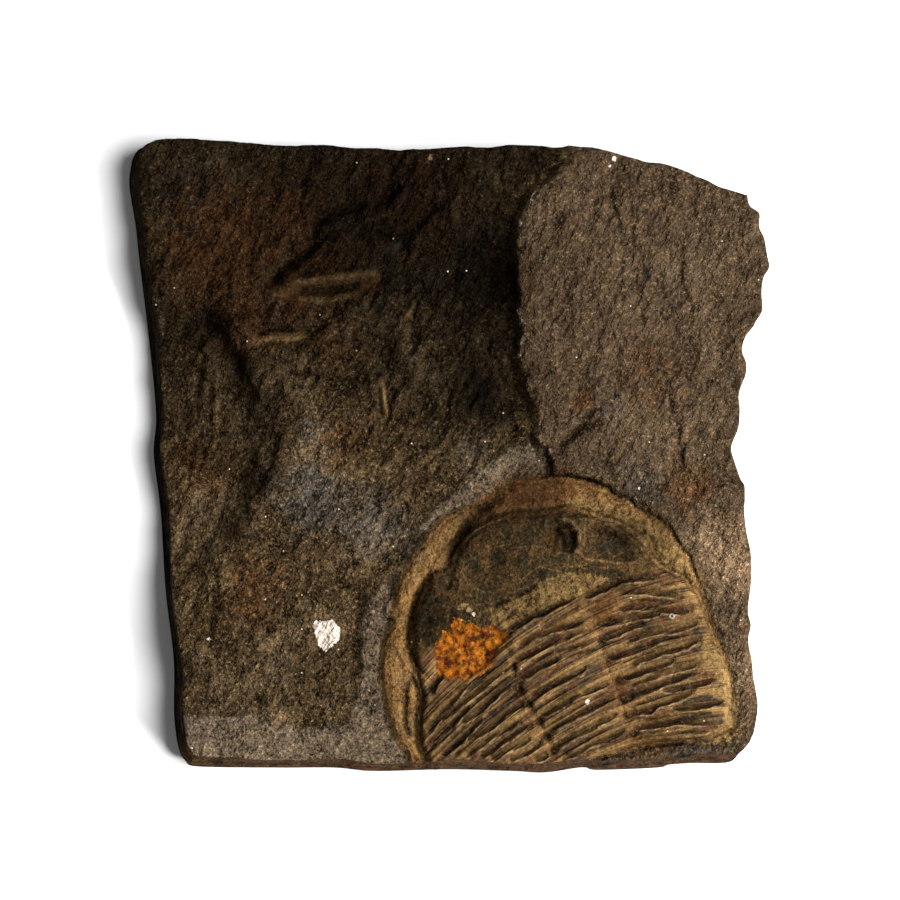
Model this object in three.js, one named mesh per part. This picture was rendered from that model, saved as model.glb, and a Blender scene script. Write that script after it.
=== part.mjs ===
// A loose, nearly square slab of dark layered shale that carries one large trilobite, seen from its
// back, in low relief at the lower right corner. The slab and the fossil are one piece of stone.
// Millimetres, +Z up. The slab lies on its flat underside, face up, and the origin is the middle of
// that underside.

import * as THREE from 'three';

// Driving dimensions, in millimetres above the underside or along the face
const MIDDLE_LEVEL = 9.0;
const MIDDLE_TILT = 0.022;
const BACK_SAG = 0.7;
const PLATEAU_LEVEL = 12.6;
const PLATEAU_TILT = 0.045;
const PLATEAU_START = 12;
const RIGHT_MARGIN_FALL = 1.5;
const SPALL_DROP = 1.9;
const SPALL_TILT = 0.05;
const FRONT_LEDGE_RISE = 0.8;
const CORNER_LEDGE_RISE = 0.55;
const SHIELD_LEVEL = 9.9;
const BRIM_RISE = 0.55;
const BORDER_FURROW_DEPTH = 0.45;
const BORDER_FURROW_WIDTH = 2.0;
const BODY_RISE = 1.0;
const BODY_DOME = 0.7;
const BODY_DOME_REACH = 7.0;
const AXIS_RISE = 1.2;
const AXIS_START = -29.5;
const AXIS_RUN_IN = 8;
const AXIS_SKEW = 0.4;
const AXIS_ROUNDNESS = 0.7;
const LEFT_FURROW_DEPTH = 0.75;
const AXIS_FURROW_DEPTH = 0.8;
const RIGHT_FURROW_DEPTH = 0.7;
const FURROW_GENTLE_WIDTH = 1.8;
const FURROW_STEEP_WIDTH = 0.8;
const FURROW_SHARPNESS = 1.4;
const AXIS_PIT_RADIUS = 0.9;
const AXIS_PIT_DEPTH = 0.6;
const STEP_FOOT = 0.4;
const SWELL_CALMED = 0.85;
const EDGE_CHIP = 0.5;
const EDGE_CHIP_REACH = 0.9;

// Where each break starts and ends, measured inwards across the edge of its area
const PLATEAU_SCARP = [-1.9, 0.3];
const RIGHT_MARGIN_SLOPE = [-6, 24];
const SPALL_SCARP = [-1.0, 3.6];
const LEDGE_SCARP = [-0.5, 0.7];
const SHIELD_EDGE = [-0.3, 1.2];
const BODY_EDGE = [-0.3, 1.1];
const BACK_SAG_SPAN = [-10, 40];
const END_FADE = [0, 0.09];

// The sides: how far the near and left ones lean out, and how far the far and right ones are undercut
const LEFT_BATTER = 1.3;
const FRONT_BATTER = 1.5;
const HIDDEN_UNDERCUT = 1.1;
const BED_THICKNESS = 3.4;
const BED_STEP = 0.45;
const SIDE_SPAN = [30, 50];

// How finely the face is divided, and how closely the flat facets follow it
const FACE_DIVISIONS = 256;
const FOSSIL_TOLERANCE = 0.18;
const STONE_TOLERANCE = 0.45;
const EDGE_TOLERANCE = 0.15;
const WALL_RINGS = 5;
const RIM_STEPS_PER_SIDE = 28;
const CURVE_STEPS_PER_POINT = 3;

// The widest outline of the slab, in four runs that meet at its corners
const OUTLINE_BACK = [
  [-55.6, 52.9], [-54, 55], [-49, 55.8], [-37, 55], [-20, 54.2], [-5, 53.7], [3, 54], [10, 54.3],
  [18, 54.1], [21, 54.6], [24.5, 53.9], [28, 53.1], [33, 51.7], [38, 50.8], [42, 49.4], [47, 47.4],
  [50, 46.4], [52.4, 45.5],
];
const OUTLINE_RIGHT = [
  [52, -52.7], [53.7, -50.2], [54.4, -45.7], [53.7, -40.4], [53.5, -36.3], [52.8, -32.2], [53.1, -29.7],
  [52.6, -27.2], [53, -22], [53, -18], [52.3, -12], [52, -6], [51.1, -4.1], [50, -1], [49.5, 1.4],
  [50.7, 4.6], [51.4, 7.8], [51.4, 11], [52.1, 13.7], [52.1, 16.1], [51.4, 18.1], [51.9, 20.5],
  [53.7, 22.9], [54.9, 25.2], [54.8, 28.4], [55.1, 30.8], [56.2, 32.8], [56.1, 34.8], [55.5, 38],
  [54.6, 40], [54.5, 42.3], [52.9, 43.7], [52.4, 45.5],
];
const OUTLINE_FRONT = [
  [-46, -54], [-44, -54.8], [-30, -55], [-20, -55], [-13, -55.6], [0, -55.3], [11.4, -55.6],
  [17, -55.85], [23.5, -54.95], [26.2, -55.4], [37, -55], [39.2, -54.5], [43.6, -54.2], [50.1, -54.1],
  [52, -52.7],
];
const OUTLINE_LEFT = [
  [-46, -54], [-47.3, -52], [-48.2, -46], [-48.3, -36], [-49.7, -24], [-50.6, -10], [-51.8, 0],
  [-51.4, 7], [-52.5, 19], [-54.3, 34], [-55, 41], [-56.1, 48.5], [-55.6, 52.9],
];

// Bright upper plateau on the right, bounded by a steep crest on its left and by the fossil below
const PLATEAU = [
  [24.5, 58], [24.5, 53], [21, 50], [17.4, 47], [14.6, 45], [13, 42.7], [12.2, 40], [12.5, 35],
  [12.6, 23], [12.5, 17.7], [13.5, 15], [14.2, 11.3], [15.2, 8.2], [15.6, 4.2], [17.4, 1.8],
  [18.4, -3.2], [24, -3.9], [28, -5], [32.4, -7.2], [37, -10.5], [41, -14.8], [44, -20], [46, -27],
  [48.5, -34], [50.4, -41], [51.4, -48], [49, -51], [44, -52], [36, -52], [28, -53.5], [21, -58],
  [62, -60], [62, 58],
];

// Lower facet where a flake has split off the left edge
const SPALL = [
  [-62, 28], [-45, 26], [-40, 24.5], [-37, 20], [-35, 15], [-33, 8], [-31, 3], [-32, -2], [-34, -8],
  [-38, -15], [-44, -21], [-50, -23], [-62, -25],
];

// Smooth grey ledge around the front of the head, and the one along the near left corner
const FRONT_LEDGE = [
  [17.4, 1.8], [14.5, 2.3], [12, 1.9], [8, -0.6], [5.3, -1.9], [3.8, -3.7], [2, -5.6], [0.1, -7.1],
  [-2.4, -8.7], [-4, -11.6], [-5.2, -14.5], [-6.8, -16.9], [-8.3, -19.7], [-9.6, -22.7], [-10.7, -25.7],
  [-11.3, -29], [-5, -29], [8, -10], [18, -6],
];
const CORNER_LEDGE = [
  [-11.5, -22], [-14, -25], [-15, -30], [-15.5, -38], [-16.5, -44], [-18, -46.5], [-22, -48],
  [-28, -47.5], [-32, -46.5], [-35, -45.5], [-42, -45.7], [-60, -45.3], [-60, -62], [-4, -62], [-8, -30],
];

// Outline of the whole trilobite, and of the raised body inside its border furrow
const SHIELD = [
  [15, -3.6], [18.4, -3.7], [21.6, -3.6], [23.9, -4.2], [27.8, -5.4], [29.3, -7.1], [32, -7.5],
  [32.7, -9], [35, -10.2], [38.7, -11.9], [39.4, -13.5], [41.2, -16.5], [42.5, -17.9], [43.1, -20.2],
  [44.6, -23.5], [45.8, -27.5], [47.3, -32.5], [48.4, -35], [49.6, -38.5], [49.9, -41], [50.4, -44],
  [50.9, -47.5], [48.5, -50], [45, -51.3], [40.8, -50.7], [36, -51.1], [32.5, -51.7], [28, -52.6],
  [24, -53.6], [21, -55], [10, -62], [-7, -62], [-6.9, -54.5], [-7.7, -51.9], [-9.5, -49.8], [-10.4, -47],
  [-11.2, -44], [-12, -39.5], [-12, -37.4], [-11.5, -32.1], [-10.5, -30.7], [-10, -26], [-9.1, -22.8],
  [-7.7, -19.7], [-6, -16.6], [-3.9, -13.7], [-1.4, -11.1], [1.3, -9.6], [5.2, -8.1], [9.1, -5.6],
  [12, -4.1],
];
const BODY = [
  [14, -10.4], [17, -10.2], [20.6, -9.5], [22.8, -9.9], [25, -10.4], [27.3, -11.2], [29.5, -11.9],
  [31.7, -13], [33.2, -14.1], [34.3, -15.6], [35.1, -17.5], [37, -19.6], [41, -21.6], [43.5, -24.5],
  [44.8, -27.5], [46.2, -32], [47.8, -35.5], [48.9, -39], [49.2, -43.5], [49.4, -47.4], [45, -49.6],
  [40.8, -50], [36.2, -50.4], [32.7, -51], [26, -53], [20, -56], [10, -62], [-3.5, -62], [-3.6, -53.3],
  [-4.8, -51], [-5, -46], [-4.4, -43.5], [-4.8, -41], [-5.5, -38], [-6, -35], [-6.4, -31.5], [-6.2, -29],
  [-5.4, -27], [-4.6, -24.8], [-3.6, -22.6], [-2.6, -21.3], [-0.6, -20.9], [0.6, -19.9], [0.8, -18.4],
  [1.4, -17.2], [3.3, -14.5], [4.8, -13.1], [6.4, -12.2], [8.1, -11.4], [11, -10.7],
];

// The two furrows that part the middle axis of the thorax from its side lobes
const AXIS_LEFT = [
  [4.5, -22], [6.3, -26], [8, -30], [9.6, -33], [11.3, -37.4], [12.4, -41], [14.2, -44], [16, -46.8],
  [17.3, -49.5], [19.5, -56],
];
const AXIS_RIGHT = [
  [21.5, -19], [23, -23], [24.5, -27], [26.4, -31], [26.9, -34], [27.7, -37.5], [29, -40.2],
  [30.2, -43], [31.3, -46], [32.2, -49], [34, -56],
];

// Furrows of the thorax, all drawn from left to right: those of the left side lobe
const LEFT_FURROWS = [
  [[-3.2, -42], [-2.4, -40.5], [-1.7, -39.2], [-0.9, -38.6]],
  [[-3.8, -48.6], [-2.9, -47.5], [-1.6, -45.9], [-0.2, -44.2], [0.8, -43], [2.2, -41.2], [3.7, -39.8]],
  [
    [-1.6, -46.6], [-0.8, -45.9], [0.8, -44.7], [2.5, -43.3], [4, -42.1], [5.6, -40.8], [8.1, -38.8],
    [10.8, -36.9],
  ],
  [
    [-3.4, -51.6], [-2.7, -50.6], [-1.6, -49.1], [-0.1, -48], [1.1, -46.8], [1.9, -45.6], [3.1, -44.5],
    [4.2, -43.2],
  ],
  [[2, -47.1], [3.2, -46.3], [4.5, -45.5], [6, -44.2], [7.5, -42.7], [9.5, -41], [12, -39.5]],
  [
    [-1.6, -53.4], [-0.5, -52.3], [0.8, -51.2], [2.2, -49.9], [3.4, -48.7], [4.4, -47.5], [5.4, -46.5],
    [6.6, -45.6],
  ],
  [
    [3, -50.4], [4.2, -49.5], [5.6, -48.7], [6.9, -48], [8.8, -46.5], [10.4, -45], [12.6, -43.6],
    [13.6, -43],
  ],
  [
    [2.7, -53.3], [4.1, -52], [5.4, -51], [6.6, -50], [7.8, -49.1], [9.2, -48.3], [11, -47.5],
    [13.4, -46.3],
  ],
  [
    [5.2, -53.3], [6.4, -52.5], [7.6, -51.8], [8.8, -50.6], [10.1, -49.9], [11.6, -48.8], [12.7, -48],
    [14.8, -46.8],
  ],
  [[7.4, -53.6], [8.4, -52.8], [9.5, -51.9], [12.2, -50.7], [15, -49.4]],
  [[10.5, -53.5], [12.2, -52.8], [13.8, -52], [16.8, -49.8]],
  [[15, -53.8], [16.6, -53.1], [17.6, -52.2]],
];

// Furrows between the rings of the axis
const AXIS_FURROWS = [
  [
    [9.8, -31], [11.5, -30.1], [13, -29.2], [14.6, -28.2], [16.6, -27.7], [17.8, -26.9], [19.3, -26.1],
    [20.5, -25.7], [22.4, -25.2],
  ],
  [
    [12.1, -33.9], [13.5, -32.8], [15, -32], [16.2, -31.4], [18.1, -30.6], [20, -30.2], [21.9, -29.8],
    [23.8, -29.3],
  ],
  [
    [10.8, -36.2], [12.7, -35.5], [15, -34.4], [16.2, -33.8], [18.1, -32.8], [20, -32.2], [21.6, -31.4],
    [22.9, -30.8], [24.6, -30.7],
  ],
  [[12, -39.3], [13.7, -38.6], [15, -37.6], [16.4, -36.8], [18.1, -36], [19.8, -35.6]],
  [
    [14, -42.8], [15.9, -41.6], [17.5, -40.6], [18.8, -40], [20.1, -39.4], [21.5, -38.6], [23.2, -37.8],
    [25, -36.2],
  ],
  [
    [15.3, -46.2], [17.5, -44.9], [20.1, -43.6], [22.3, -42.1], [23.9, -41.6], [25.3, -41], [27, -40.3],
    [28.4, -39.9],
  ],
  [
    [17.1, -49], [19.1, -47.5], [20.7, -46.5], [22.3, -45.6], [23.9, -44.9], [25.1, -44.3],
    [26.7, -43.3], [29.4, -42.6],
  ],
  [
    [17.6, -52.2], [19.1, -51.1], [20.7, -49.9], [22.6, -48.9], [24.8, -47.8], [27, -46.5],
    [28.6, -45.7], [30.2, -45.1],
  ],
  [
    [19.1, -53.8], [21.2, -53], [23.1, -51.8], [24.7, -50.7], [27.1, -49.9], [28.6, -49.4],
    [30.2, -48.3], [31.4, -47.9],
  ],
];

// Furrows of the right side lobe, from the back of the head to the last ring
const RIGHT_FURROWS = [
  [
    [23.2, -25], [24.5, -24.8], [26, -24], [27.5, -23.3], [28.5, -22.7], [30, -22.1], [32.5, -21.7],
    [35.8, -21.3], [37.1, -20.5],
  ],
  [[29.5, -24.6], [31, -24], [32.5, -23.8], [35, -24], [37, -24.3], [39, -24.4], [41.2, -25]],
  [
    [29, -27.6], [30.5, -27], [32, -26.7], [34, -26.7], [35.6, -27], [37.5, -27.2], [41, -27.4],
    [43, -27.2],
  ],
  [
    [25, -29.8], [27, -29.6], [28.6, -29.3], [30, -29], [32, -28.6], [34, -28.2], [36, -27.9],
    [37.8, -27.9],
  ],
  [[26.3, -32.5], [28, -31.8], [29.5, -31.3], [31, -30.5], [33, -29.7], [34.6, -29.4]],
  [
    [30.6, -33.4], [32.2, -32.3], [33.5, -31.6], [35, -31.2], [37, -30.9], [39, -30.8], [41, -30.2],
    [43, -29.5], [44.6, -29.2],
  ],
  [[27.2, -35.8], [29, -35.4], [30.5, -35], [32, -34.5], [33.4, -34], [35.4, -33.2], [36.6, -32.7]],
  [
    [31, -37.3], [33, -36.3], [34.5, -35.5], [36, -35.1], [37.6, -34.5], [40, -34], [41.5, -33.4],
    [43, -32.6], [44.4, -32.7],
  ],
  [[30, -39.4], [31.6, -38.8], [33.5, -38.1], [35.1, -37.6], [36.4, -37.3], [38.4, -36.3], [40, -35.5]],
  [[33.6, -39.8], [35.6, -38.9], [37, -38.2], [39, -37.8], [40.8, -37.4], [42.2, -37], [44, -36.3]],
  [
    [30.4, -42.3], [31.9, -42.3], [33.3, -41.7], [35.1, -41.1], [36.8, -40.5], [38.1, -39.8],
    [39.7, -39.4], [41.6, -38.7], [43.6, -38.2],
  ],
  [[36.6, -41.5], [39.1, -40.9], [41.4, -40.8], [43.2, -40.3], [45, -39.8], [46.8, -39.2]],
  [
    [31.1, -45.1], [32.7, -45.1], [35.1, -44.8], [36.5, -43.8], [38.1, -43.3], [39.8, -42.7],
    [41.8, -41.9], [43.3, -41.2],
  ],
  [[38.7, -44.5], [40.6, -44.3], [42.9, -44.1], [45, -43.8], [46.4, -43.4], [48.8, -42.9]],
  [
    [31.8, -47.9], [33.5, -47.7], [35.1, -47.5], [36.8, -47.2], [39.1, -46.7], [41.4, -46.7],
    [43.8, -46.8], [46.4, -47.1],
  ],
  [[33, -51.7], [34.5, -51.5], [36.2, -50.8], [38.1, -50.4], [40, -50.3], [41.4, -49.9]],
];

// Deeper notches where the axial furrows cross the furrows of the rings
const AXIS_PITS = [
  [11.3, -37.2], [12.4, -41], [14.2, -43.7], [15.9, -46.6], [17.2, -49.3], [18.4, -51.9],
  [26.7, -32.6], [28.2, -35.6], [29.8, -39.3], [30.5, -42.6], [31.2, -45.5], [32.5, -48.8],
];

// Each cut or raised line is its own path, its half width and its depth, or its height if negative
const SPINE_FURROW = {
  path: [[-7, -38.5], [-7.5, -42], [-7.6, -46], [-6.9, -50]],
  width: 0.6,
  depth: 0.5,
};
const RIGHT_EYE_CRESCENT = {
  path: [[18.3, -13.9], [19, -12.7], [20.3, -12.6], [21.4, -14], [21.5, -15.5], [20.8, -16.9]],
  width: 0.6,
  depth: 0.7,
};
const RIGHT_EYE_RIM = { path: [[22.5, -13.5], [22.6, -15.5], [21.9, -17.6]], width: 0.6, depth: -0.4 };
const LEFT_EYE_LINE = { path: [[0.5, -21.2], [0, -22.6], [-0.4, -24.1]], width: 0.5, depth: 0.4 };
const NOSE_RIDGE = { path: [[17, -10.4], [16.7, -13.8]], width: 0.6, depth: -0.3 };
const CHEEK_RIDGE = {
  path: [[-9.6, -32.5], [-8, -35.7], [-5.9, -38.8], [-4.9, -41]],
  width: 0.5,
  depth: -0.4,
};
const HEAD_BACK_EDGE = {
  path: [[7.5, -27.9], [8.7, -26], [11.4, -24.8], [13.9, -23.8], [16.5, -21.4]],
  width: 0.6,
  depth: 0.45,
};
const FRONT_CRACK = {
  path: [[14, -3.7], [19.8, -3.7], [23.5, -4.2], [27.5, -5.4]],
  width: 0.4,
  depth: 0.5,
};
const PLATEAU_LIP = { path: [[18.8, 0.2], [21.4, 3.4], [23.8, 4.6], [27.8, 6.6]], width: 0.8, depth: 0.7 };
const SPINDLE_GROOVE = { path: [[-26.5, 28.6], [-21, 28.9], [-15.3, 29.8]], width: 0.6, depth: 0.8 };
const SPINDLE_BACK = {
  path: [[-29.3, 29.8], [-22, 30.7], [-15, 31.8], [-12, 31.4]],
  width: 0.8,
  depth: -0.7,
};
const SPINDLE_LIP = { path: [[-27, 27.6], [-21, 27.2], [-15.8, 28.4]], width: 0.6, depth: -0.5 };
const GROOVES = [
  SPINE_FURROW, RIGHT_EYE_CRESCENT, RIGHT_EYE_RIM, LEFT_EYE_LINE, NOSE_RIDGE, CHEEK_RIDGE,
  HEAD_BACK_EDGE, FRONT_CRACK, PLATEAU_LIP, SPINDLE_GROOVE, SPINDLE_BACK, SPINDLE_LIP,
];

// Small broken steps of the bedding: the stone on the left of each path stands higher, and the step
// dies away on both sides of it
const BEDDING_STEPS = [
  {
    path: [
      [-6.4, 50.5], [-8.9, 47.2], [-10.3, 44.2], [-13.3, 43.1], [-19.8, 41.7], [-22, 40.2],
      [-23.5, 36.2], [-26, 33.6], [-30, 31.4], [-30.8, 26.7],
    ],
    height: 0.75,
    fade: 5,
  },
  { path: [[1, 44.6], [-2.2, 43.4], [-3.4, 41.3], [-6, 39.1], [-7.6, 35.5]], height: 0.6, fade: 4 },
  { path: [[-18.4, 27], [-20.2, 24.1], [-22, 22.3], [-25.5, 19.8]], height: 0.55, fade: 4 },
  { path: [[30.8, 22], [29.8, 31], [30.5, 36.4], [32, 40], [33.4, 46.5]], height: 0.4, fade: 5 },
];

// Low bosses and pits: place, radius and height, or depth if negative
const BOSSES = [
  { place: [20, -15], radius: 1.3, height: 0.6 },
  { place: [12, -17.5], radius: 8, height: 0.7 },
  { place: [26.3, 9.8], radius: 1.9, height: 0.7 },
  { place: [2.9, -26.3], radius: 1.0, height: 0.4 },
  { place: [-9.6, 36.6], radius: 1.3, height: 0.4 },
  { place: [-13.8, 29.8], radius: 1.1, height: 0.4 },
  { place: [41, -21.3], radius: 0.8, height: -0.6 },
  { place: [-11, 37.5], radius: 0.8, height: -0.5 },
  { place: [4, -34.5], radius: 4.5, height: -0.35 },
  { place: [42.5, -34], radius: 2.2, height: 0.25 },
  { place: [-14, -51], radius: 3.5, height: 0.5 },
];

function clamp(value, low, high) {
  return Math.min(Math.max(value, low), high);
}

function mix(from, to, share) {
  return from + (to - from) * share;
}

// 0 up to the first value, 1 from the second on, and smooth between them
function smooth([from, to], value) {
  const share = clamp((value - from) / (to - from), 0, 1);
  return share * share * (3 - 2 * share);
}

// A smooth curve through the given points, whole or cut into short straight runs
function splineThrough(points) {
  return new THREE.SplineCurve(points.map(([x, y]) => new THREE.Vector2(x, y)));
}

function curved(points) {
  const runs = CURVE_STEPS_PER_POINT * (points.length - 1);
  return splineThrough(points).getPoints(runs).map((p) => [p.x, p.y]);
}

// Nearest place on an open path: how far it is, on which side of it, and the share of the way along
function nearest(path, x, y) {
  let best = { distance: Infinity, side: 1, along: 0 };
  for (let i = 0; i + 1 < path.length; i += 1) {
    const [ax, ay] = path[i];
    const [bx, by] = path[i + 1];
    const dx = bx - ax;
    const dy = by - ay;
    const share = clamp(((x - ax) * dx + (y - ay) * dy) / (dx * dx + dy * dy), 0, 1);
    const distance = Math.hypot(x - ax - share * dx, y - ay - share * dy);
    if (distance < best.distance) {
      const side = dx * (y - ay) - dy * (x - ax) < 0 ? -1 : 1;
      best = { distance, side, along: (i + share) / (path.length - 1) };
    }
  }
  return best;
}

// Distance to a closed outline, positive inside it
function depthInside(outline, x, y) {
  let inside = false;
  for (let i = 0, j = outline.length - 1; i < outline.length; j = i, i += 1) {
    const [ax, ay] = outline[i];
    const [bx, by] = outline[j];
    if (ay > y !== by > y && x < ((bx - ax) * (y - ay)) / (by - ay) + ax) {
      inside = !inside;
    }
  }
  const distance = nearest([...outline, outline[0]], x, y).distance;
  return inside ? distance : -distance;
}

// Fades a line feature out over the first and last part of its path
function endTaper(along) {
  return smooth(END_FADE, along) * smooth(END_FADE, 1 - along);
}

// A round bump of height 1 about a place
function bump(x, y, [px, py], radius) {
  return Math.exp(-(((x - px) ** 2 + (y - py) ** 2) / radius ** 2));
}

const SMOOTH_PATHS = {
  axisLeft: curved(AXIS_LEFT),
  axisRight: curved(AXIS_RIGHT),
  furrows: [
    ...LEFT_FURROWS.map((path) => ({ path: curved(path), depth: LEFT_FURROW_DEPTH })),
    ...AXIS_FURROWS.map((path) => ({ path: curved(path), depth: AXIS_FURROW_DEPTH })),
    ...RIGHT_FURROWS.map((path) => ({ path: curved(path), depth: RIGHT_FURROW_DEPTH })),
  ],
  grooves: GROOVES.map((groove) => ({ ...groove, path: curved(groove.path) })),
  steps: BEDDING_STEPS.map((step) => ({ ...step, path: curved(step.path) })),
};

// Long, low swells of broken shale
function swell(x, y) {
  const long = 0.22 * Math.sin(0.31 * x + 0.12 * y + 0.5) * Math.sin(0.27 * y - 0.09 * x + 1.1);
  const middle = 0.16 * Math.sin(0.62 * x - 0.41 * y + 2.0) * Math.sin(0.33 * x + 0.58 * y + 0.3);
  const short = 0.1 * Math.sin(1.15 * x + 0.7 * y + 4.0) * Math.sin(0.9 * y - 0.75 * x + 2.6);
  return long + middle + short;
}

// Ribs of the thorax: each falls gently to the furrow below it, whose other wall is steep
function furrowDepth(x, y) {
  let depth = 0;
  for (const furrow of SMOOTH_PATHS.furrows) {
    const place = nearest(furrow.path, x, y);
    const width = place.side > 0 ? FURROW_GENTLE_WIDTH : FURROW_STEEP_WIDTH;
    const share = 1 - Math.min(place.distance / width, 1);
    depth = Math.max(depth, furrow.depth * share ** FURROW_SHARPNESS * endTaper(place.along));
  }
  return depth;
}

// How far a place lies across the axis: 0 on its left furrow, 1 on its right one, and null outside
function acrossAxis(x, y) {
  const left = nearest(SMOOTH_PATHS.axisLeft, x, y);
  const right = nearest(SMOOTH_PATHS.axisRight, x, y);
  if (left.side < 0 || right.side > 0) {
    return null;
  }
  return left.distance / (left.distance + right.distance);
}

// The arch of the axis, which starts behind the head and is cut into rings by the furrows
function axisArch(x, y) {
  const share = acrossAxis(x, y);
  if (share === null) {
    return 0;
  }
  const start = smooth([AXIS_START, AXIS_START - AXIS_RUN_IN], y - AXIS_SKEW * x);
  return AXIS_RISE * Math.sin(Math.PI * share) ** AXIS_ROUNDNESS * start;
}

// The broken stone itself: a middle surface, the spalled facet, two smooth ledges and the plateau
function stoneHeight(x, y) {
  let z = MIDDLE_LEVEL + MIDDLE_TILT * x - BACK_SAG * smooth(BACK_SAG_SPAN, y);
  const spall = depthInside(SPALL, x, y);
  z -= SPALL_DROP * smooth(SPALL_SCARP, spall) + SPALL_TILT * Math.max(spall, 0);
  z += FRONT_LEDGE_RISE * smooth(LEDGE_SCARP, depthInside(FRONT_LEDGE, x, y));
  z += CORNER_LEDGE_RISE * smooth(LEDGE_SCARP, depthInside(CORNER_LEDGE, x, y));
  const tilt = PLATEAU_TILT * Math.max(x - PLATEAU_START, 0);
  const fall = RIGHT_MARGIN_FALL * smooth(RIGHT_MARGIN_SLOPE, -y);
  return mix(z, PLATEAU_LEVEL - tilt - fall, smooth(PLATEAU_SCARP, depthInside(PLATEAU, x, y)));
}

// The trilobite: a brim, a border furrow, the domed body inside it, and the arched, ringed axis
function fossilRelief(x, y, shield, ground) {
  const body = depthInside(BODY, x, y);
  let z = mix(ground, SHIELD_LEVEL, smooth(SHIELD_EDGE, shield));
  z += BRIM_RISE * smooth(SHIELD_EDGE, shield);
  const furrow = Math.max(1 - Math.abs(2 * body / BORDER_FURROW_WIDTH + 1), 0);
  z -= BORDER_FURROW_DEPTH * furrow * smooth(SHIELD_EDGE, shield);
  z += BODY_RISE * smooth(BODY_EDGE, body);
  z += BODY_DOME * (1 - Math.exp(-Math.max(body, 0) / BODY_DOME_REACH));
  z += axisArch(x, y);
  z -= furrowDepth(x, y);
  for (const pit of AXIS_PITS) {
    z -= AXIS_PIT_DEPTH * bump(x, y, pit, AXIS_PIT_RADIUS);
  }
  return z;
}

function groovesBumpsAndSteps(x, y) {
  let z = 0;
  for (const { path, width, depth } of SMOOTH_PATHS.grooves) {
    const { distance, along } = nearest(path, x, y);
    z -= depth * Math.exp(-((distance / width) ** 2)) * endTaper(along);
  }
  for (const { path, height, fade } of SMOOTH_PATHS.steps) {
    const { distance, side, along } = nearest(path, x, y);
    const jump = 0.5 * height * Math.tanh((side * distance) / STEP_FOOT);
    z += jump * Math.exp(-distance / fade) * endTaper(along);
  }
  for (const { place, radius, height } of BOSSES) {
    z += height * bump(x, y, place, radius);
  }
  return z;
}

// Height of the face above the underside, at a place whose distance to the rim is given
function faceHeight(x, y, toRim) {
  const shield = depthInside(SHIELD, x, y);
  const ledge = depthInside(FRONT_LEDGE, x, y);
  const calm = Math.max(smooth(SHIELD_EDGE, shield), smooth(LEDGE_SCARP, ledge));
  const stone = stoneHeight(x, y) + swell(x, y) * (1 - SWELL_CALMED * calm);
  const relief = shield > SHIELD_EDGE[0] ? fossilRelief(x, y, shield, stone) : stone;
  return relief + groovesBumpsAndSteps(x, y) - EDGE_CHIP * Math.exp(-toRim / EDGE_CHIP_REACH);
}

// A level cut through the slab: the near and left sides lean out as they go down, and the far and
// right sides are undercut. The share is 0 at the underside and 1 at the rim. Beds stand out in steps.
function cutAt(x, y, share) {
  const undercut = HIDDEN_UNDERCUT * (1 - share) ** 1.5;
  const bed = Math.sin((share * MIDDLE_LEVEL * Math.PI) / BED_THICKNESS);
  const step = BED_STEP * (0.5 - 0.5 * Math.tanh(3 * bed)) * share * (1 - share) * 4;
  const left = smooth(SIDE_SPAN, -x) * (LEFT_BATTER * share ** 2 + step);
  const right = smooth(SIDE_SPAN, x) * (undercut + step);
  const front = smooth(SIDE_SPAN, -y) * (FRONT_BATTER * share ** 2 + step);
  const back = smooth(SIDE_SPAN, y) * (undercut + step);
  return [x + left - right, y + front - back];
}

const SIDES = {
  back: splineThrough(OUTLINE_BACK),
  right: splineThrough(OUTLINE_RIGHT),
  front: splineThrough(OUTLINE_FRONT),
  left: splineThrough(OUTLINE_LEFT),
};

// The rim once round, anticlockwise seen from above
const RIM = ['front', 'right', 'back', 'left'].flatMap((side) => {
  const points = SIDES[side].getSpacedPoints(RIM_STEPS_PER_SIDE).map((p) => cutAt(p.x, p.y, 1));
  return side === 'back' || side === 'left' ? points.reverse() : points;
});

// A place on the unit square, spread over the area inside the four sides
function spreadOverOutline(u, v, share) {
  const front = SIDES.front.getPointAt(u);
  const back = SIDES.back.getPointAt(u);
  const left = SIDES.left.getPointAt(v);
  const right = SIDES.right.getPointAt(v);
  const nearLeft = SIDES.front.getPointAt(0);
  const nearRight = SIDES.front.getPointAt(1);
  const farLeft = SIDES.back.getPointAt(0);
  const farRight = SIDES.back.getPointAt(1);
  const blend = (key) => {
    const across = mix(front[key], back[key], v) + mix(left[key], right[key], u);
    const corners = mix(mix(nearLeft[key], nearRight[key], u), mix(farLeft[key], farRight[key], u), v);
    return across - corners;
  };
  return cutAt(blend('x'), blend('y'), share);
}

// The face on a regular grid, before it is thinned
function sampleFace() {
  const count = FACE_DIVISIONS + 1;
  const grid = [];
  for (let row = 0; row < count; row += 1) {
    for (let column = 0; column < count; column += 1) {
      const [x, y] = spreadOverOutline(column / FACE_DIVISIONS, row / FACE_DIVISIONS, 1);
      const toRim = nearest(RIM, x, y).distance;
      grid.push(new THREE.Vector3(x, y, faceHeight(x, y, toRim)));
    }
  }
  return grid;
}

function tolerance(point) {
  return depthInside(SHIELD, point.x, point.y) > 0 ? FOSSIL_TOLERANCE : STONE_TOLERANCE;
}

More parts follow.
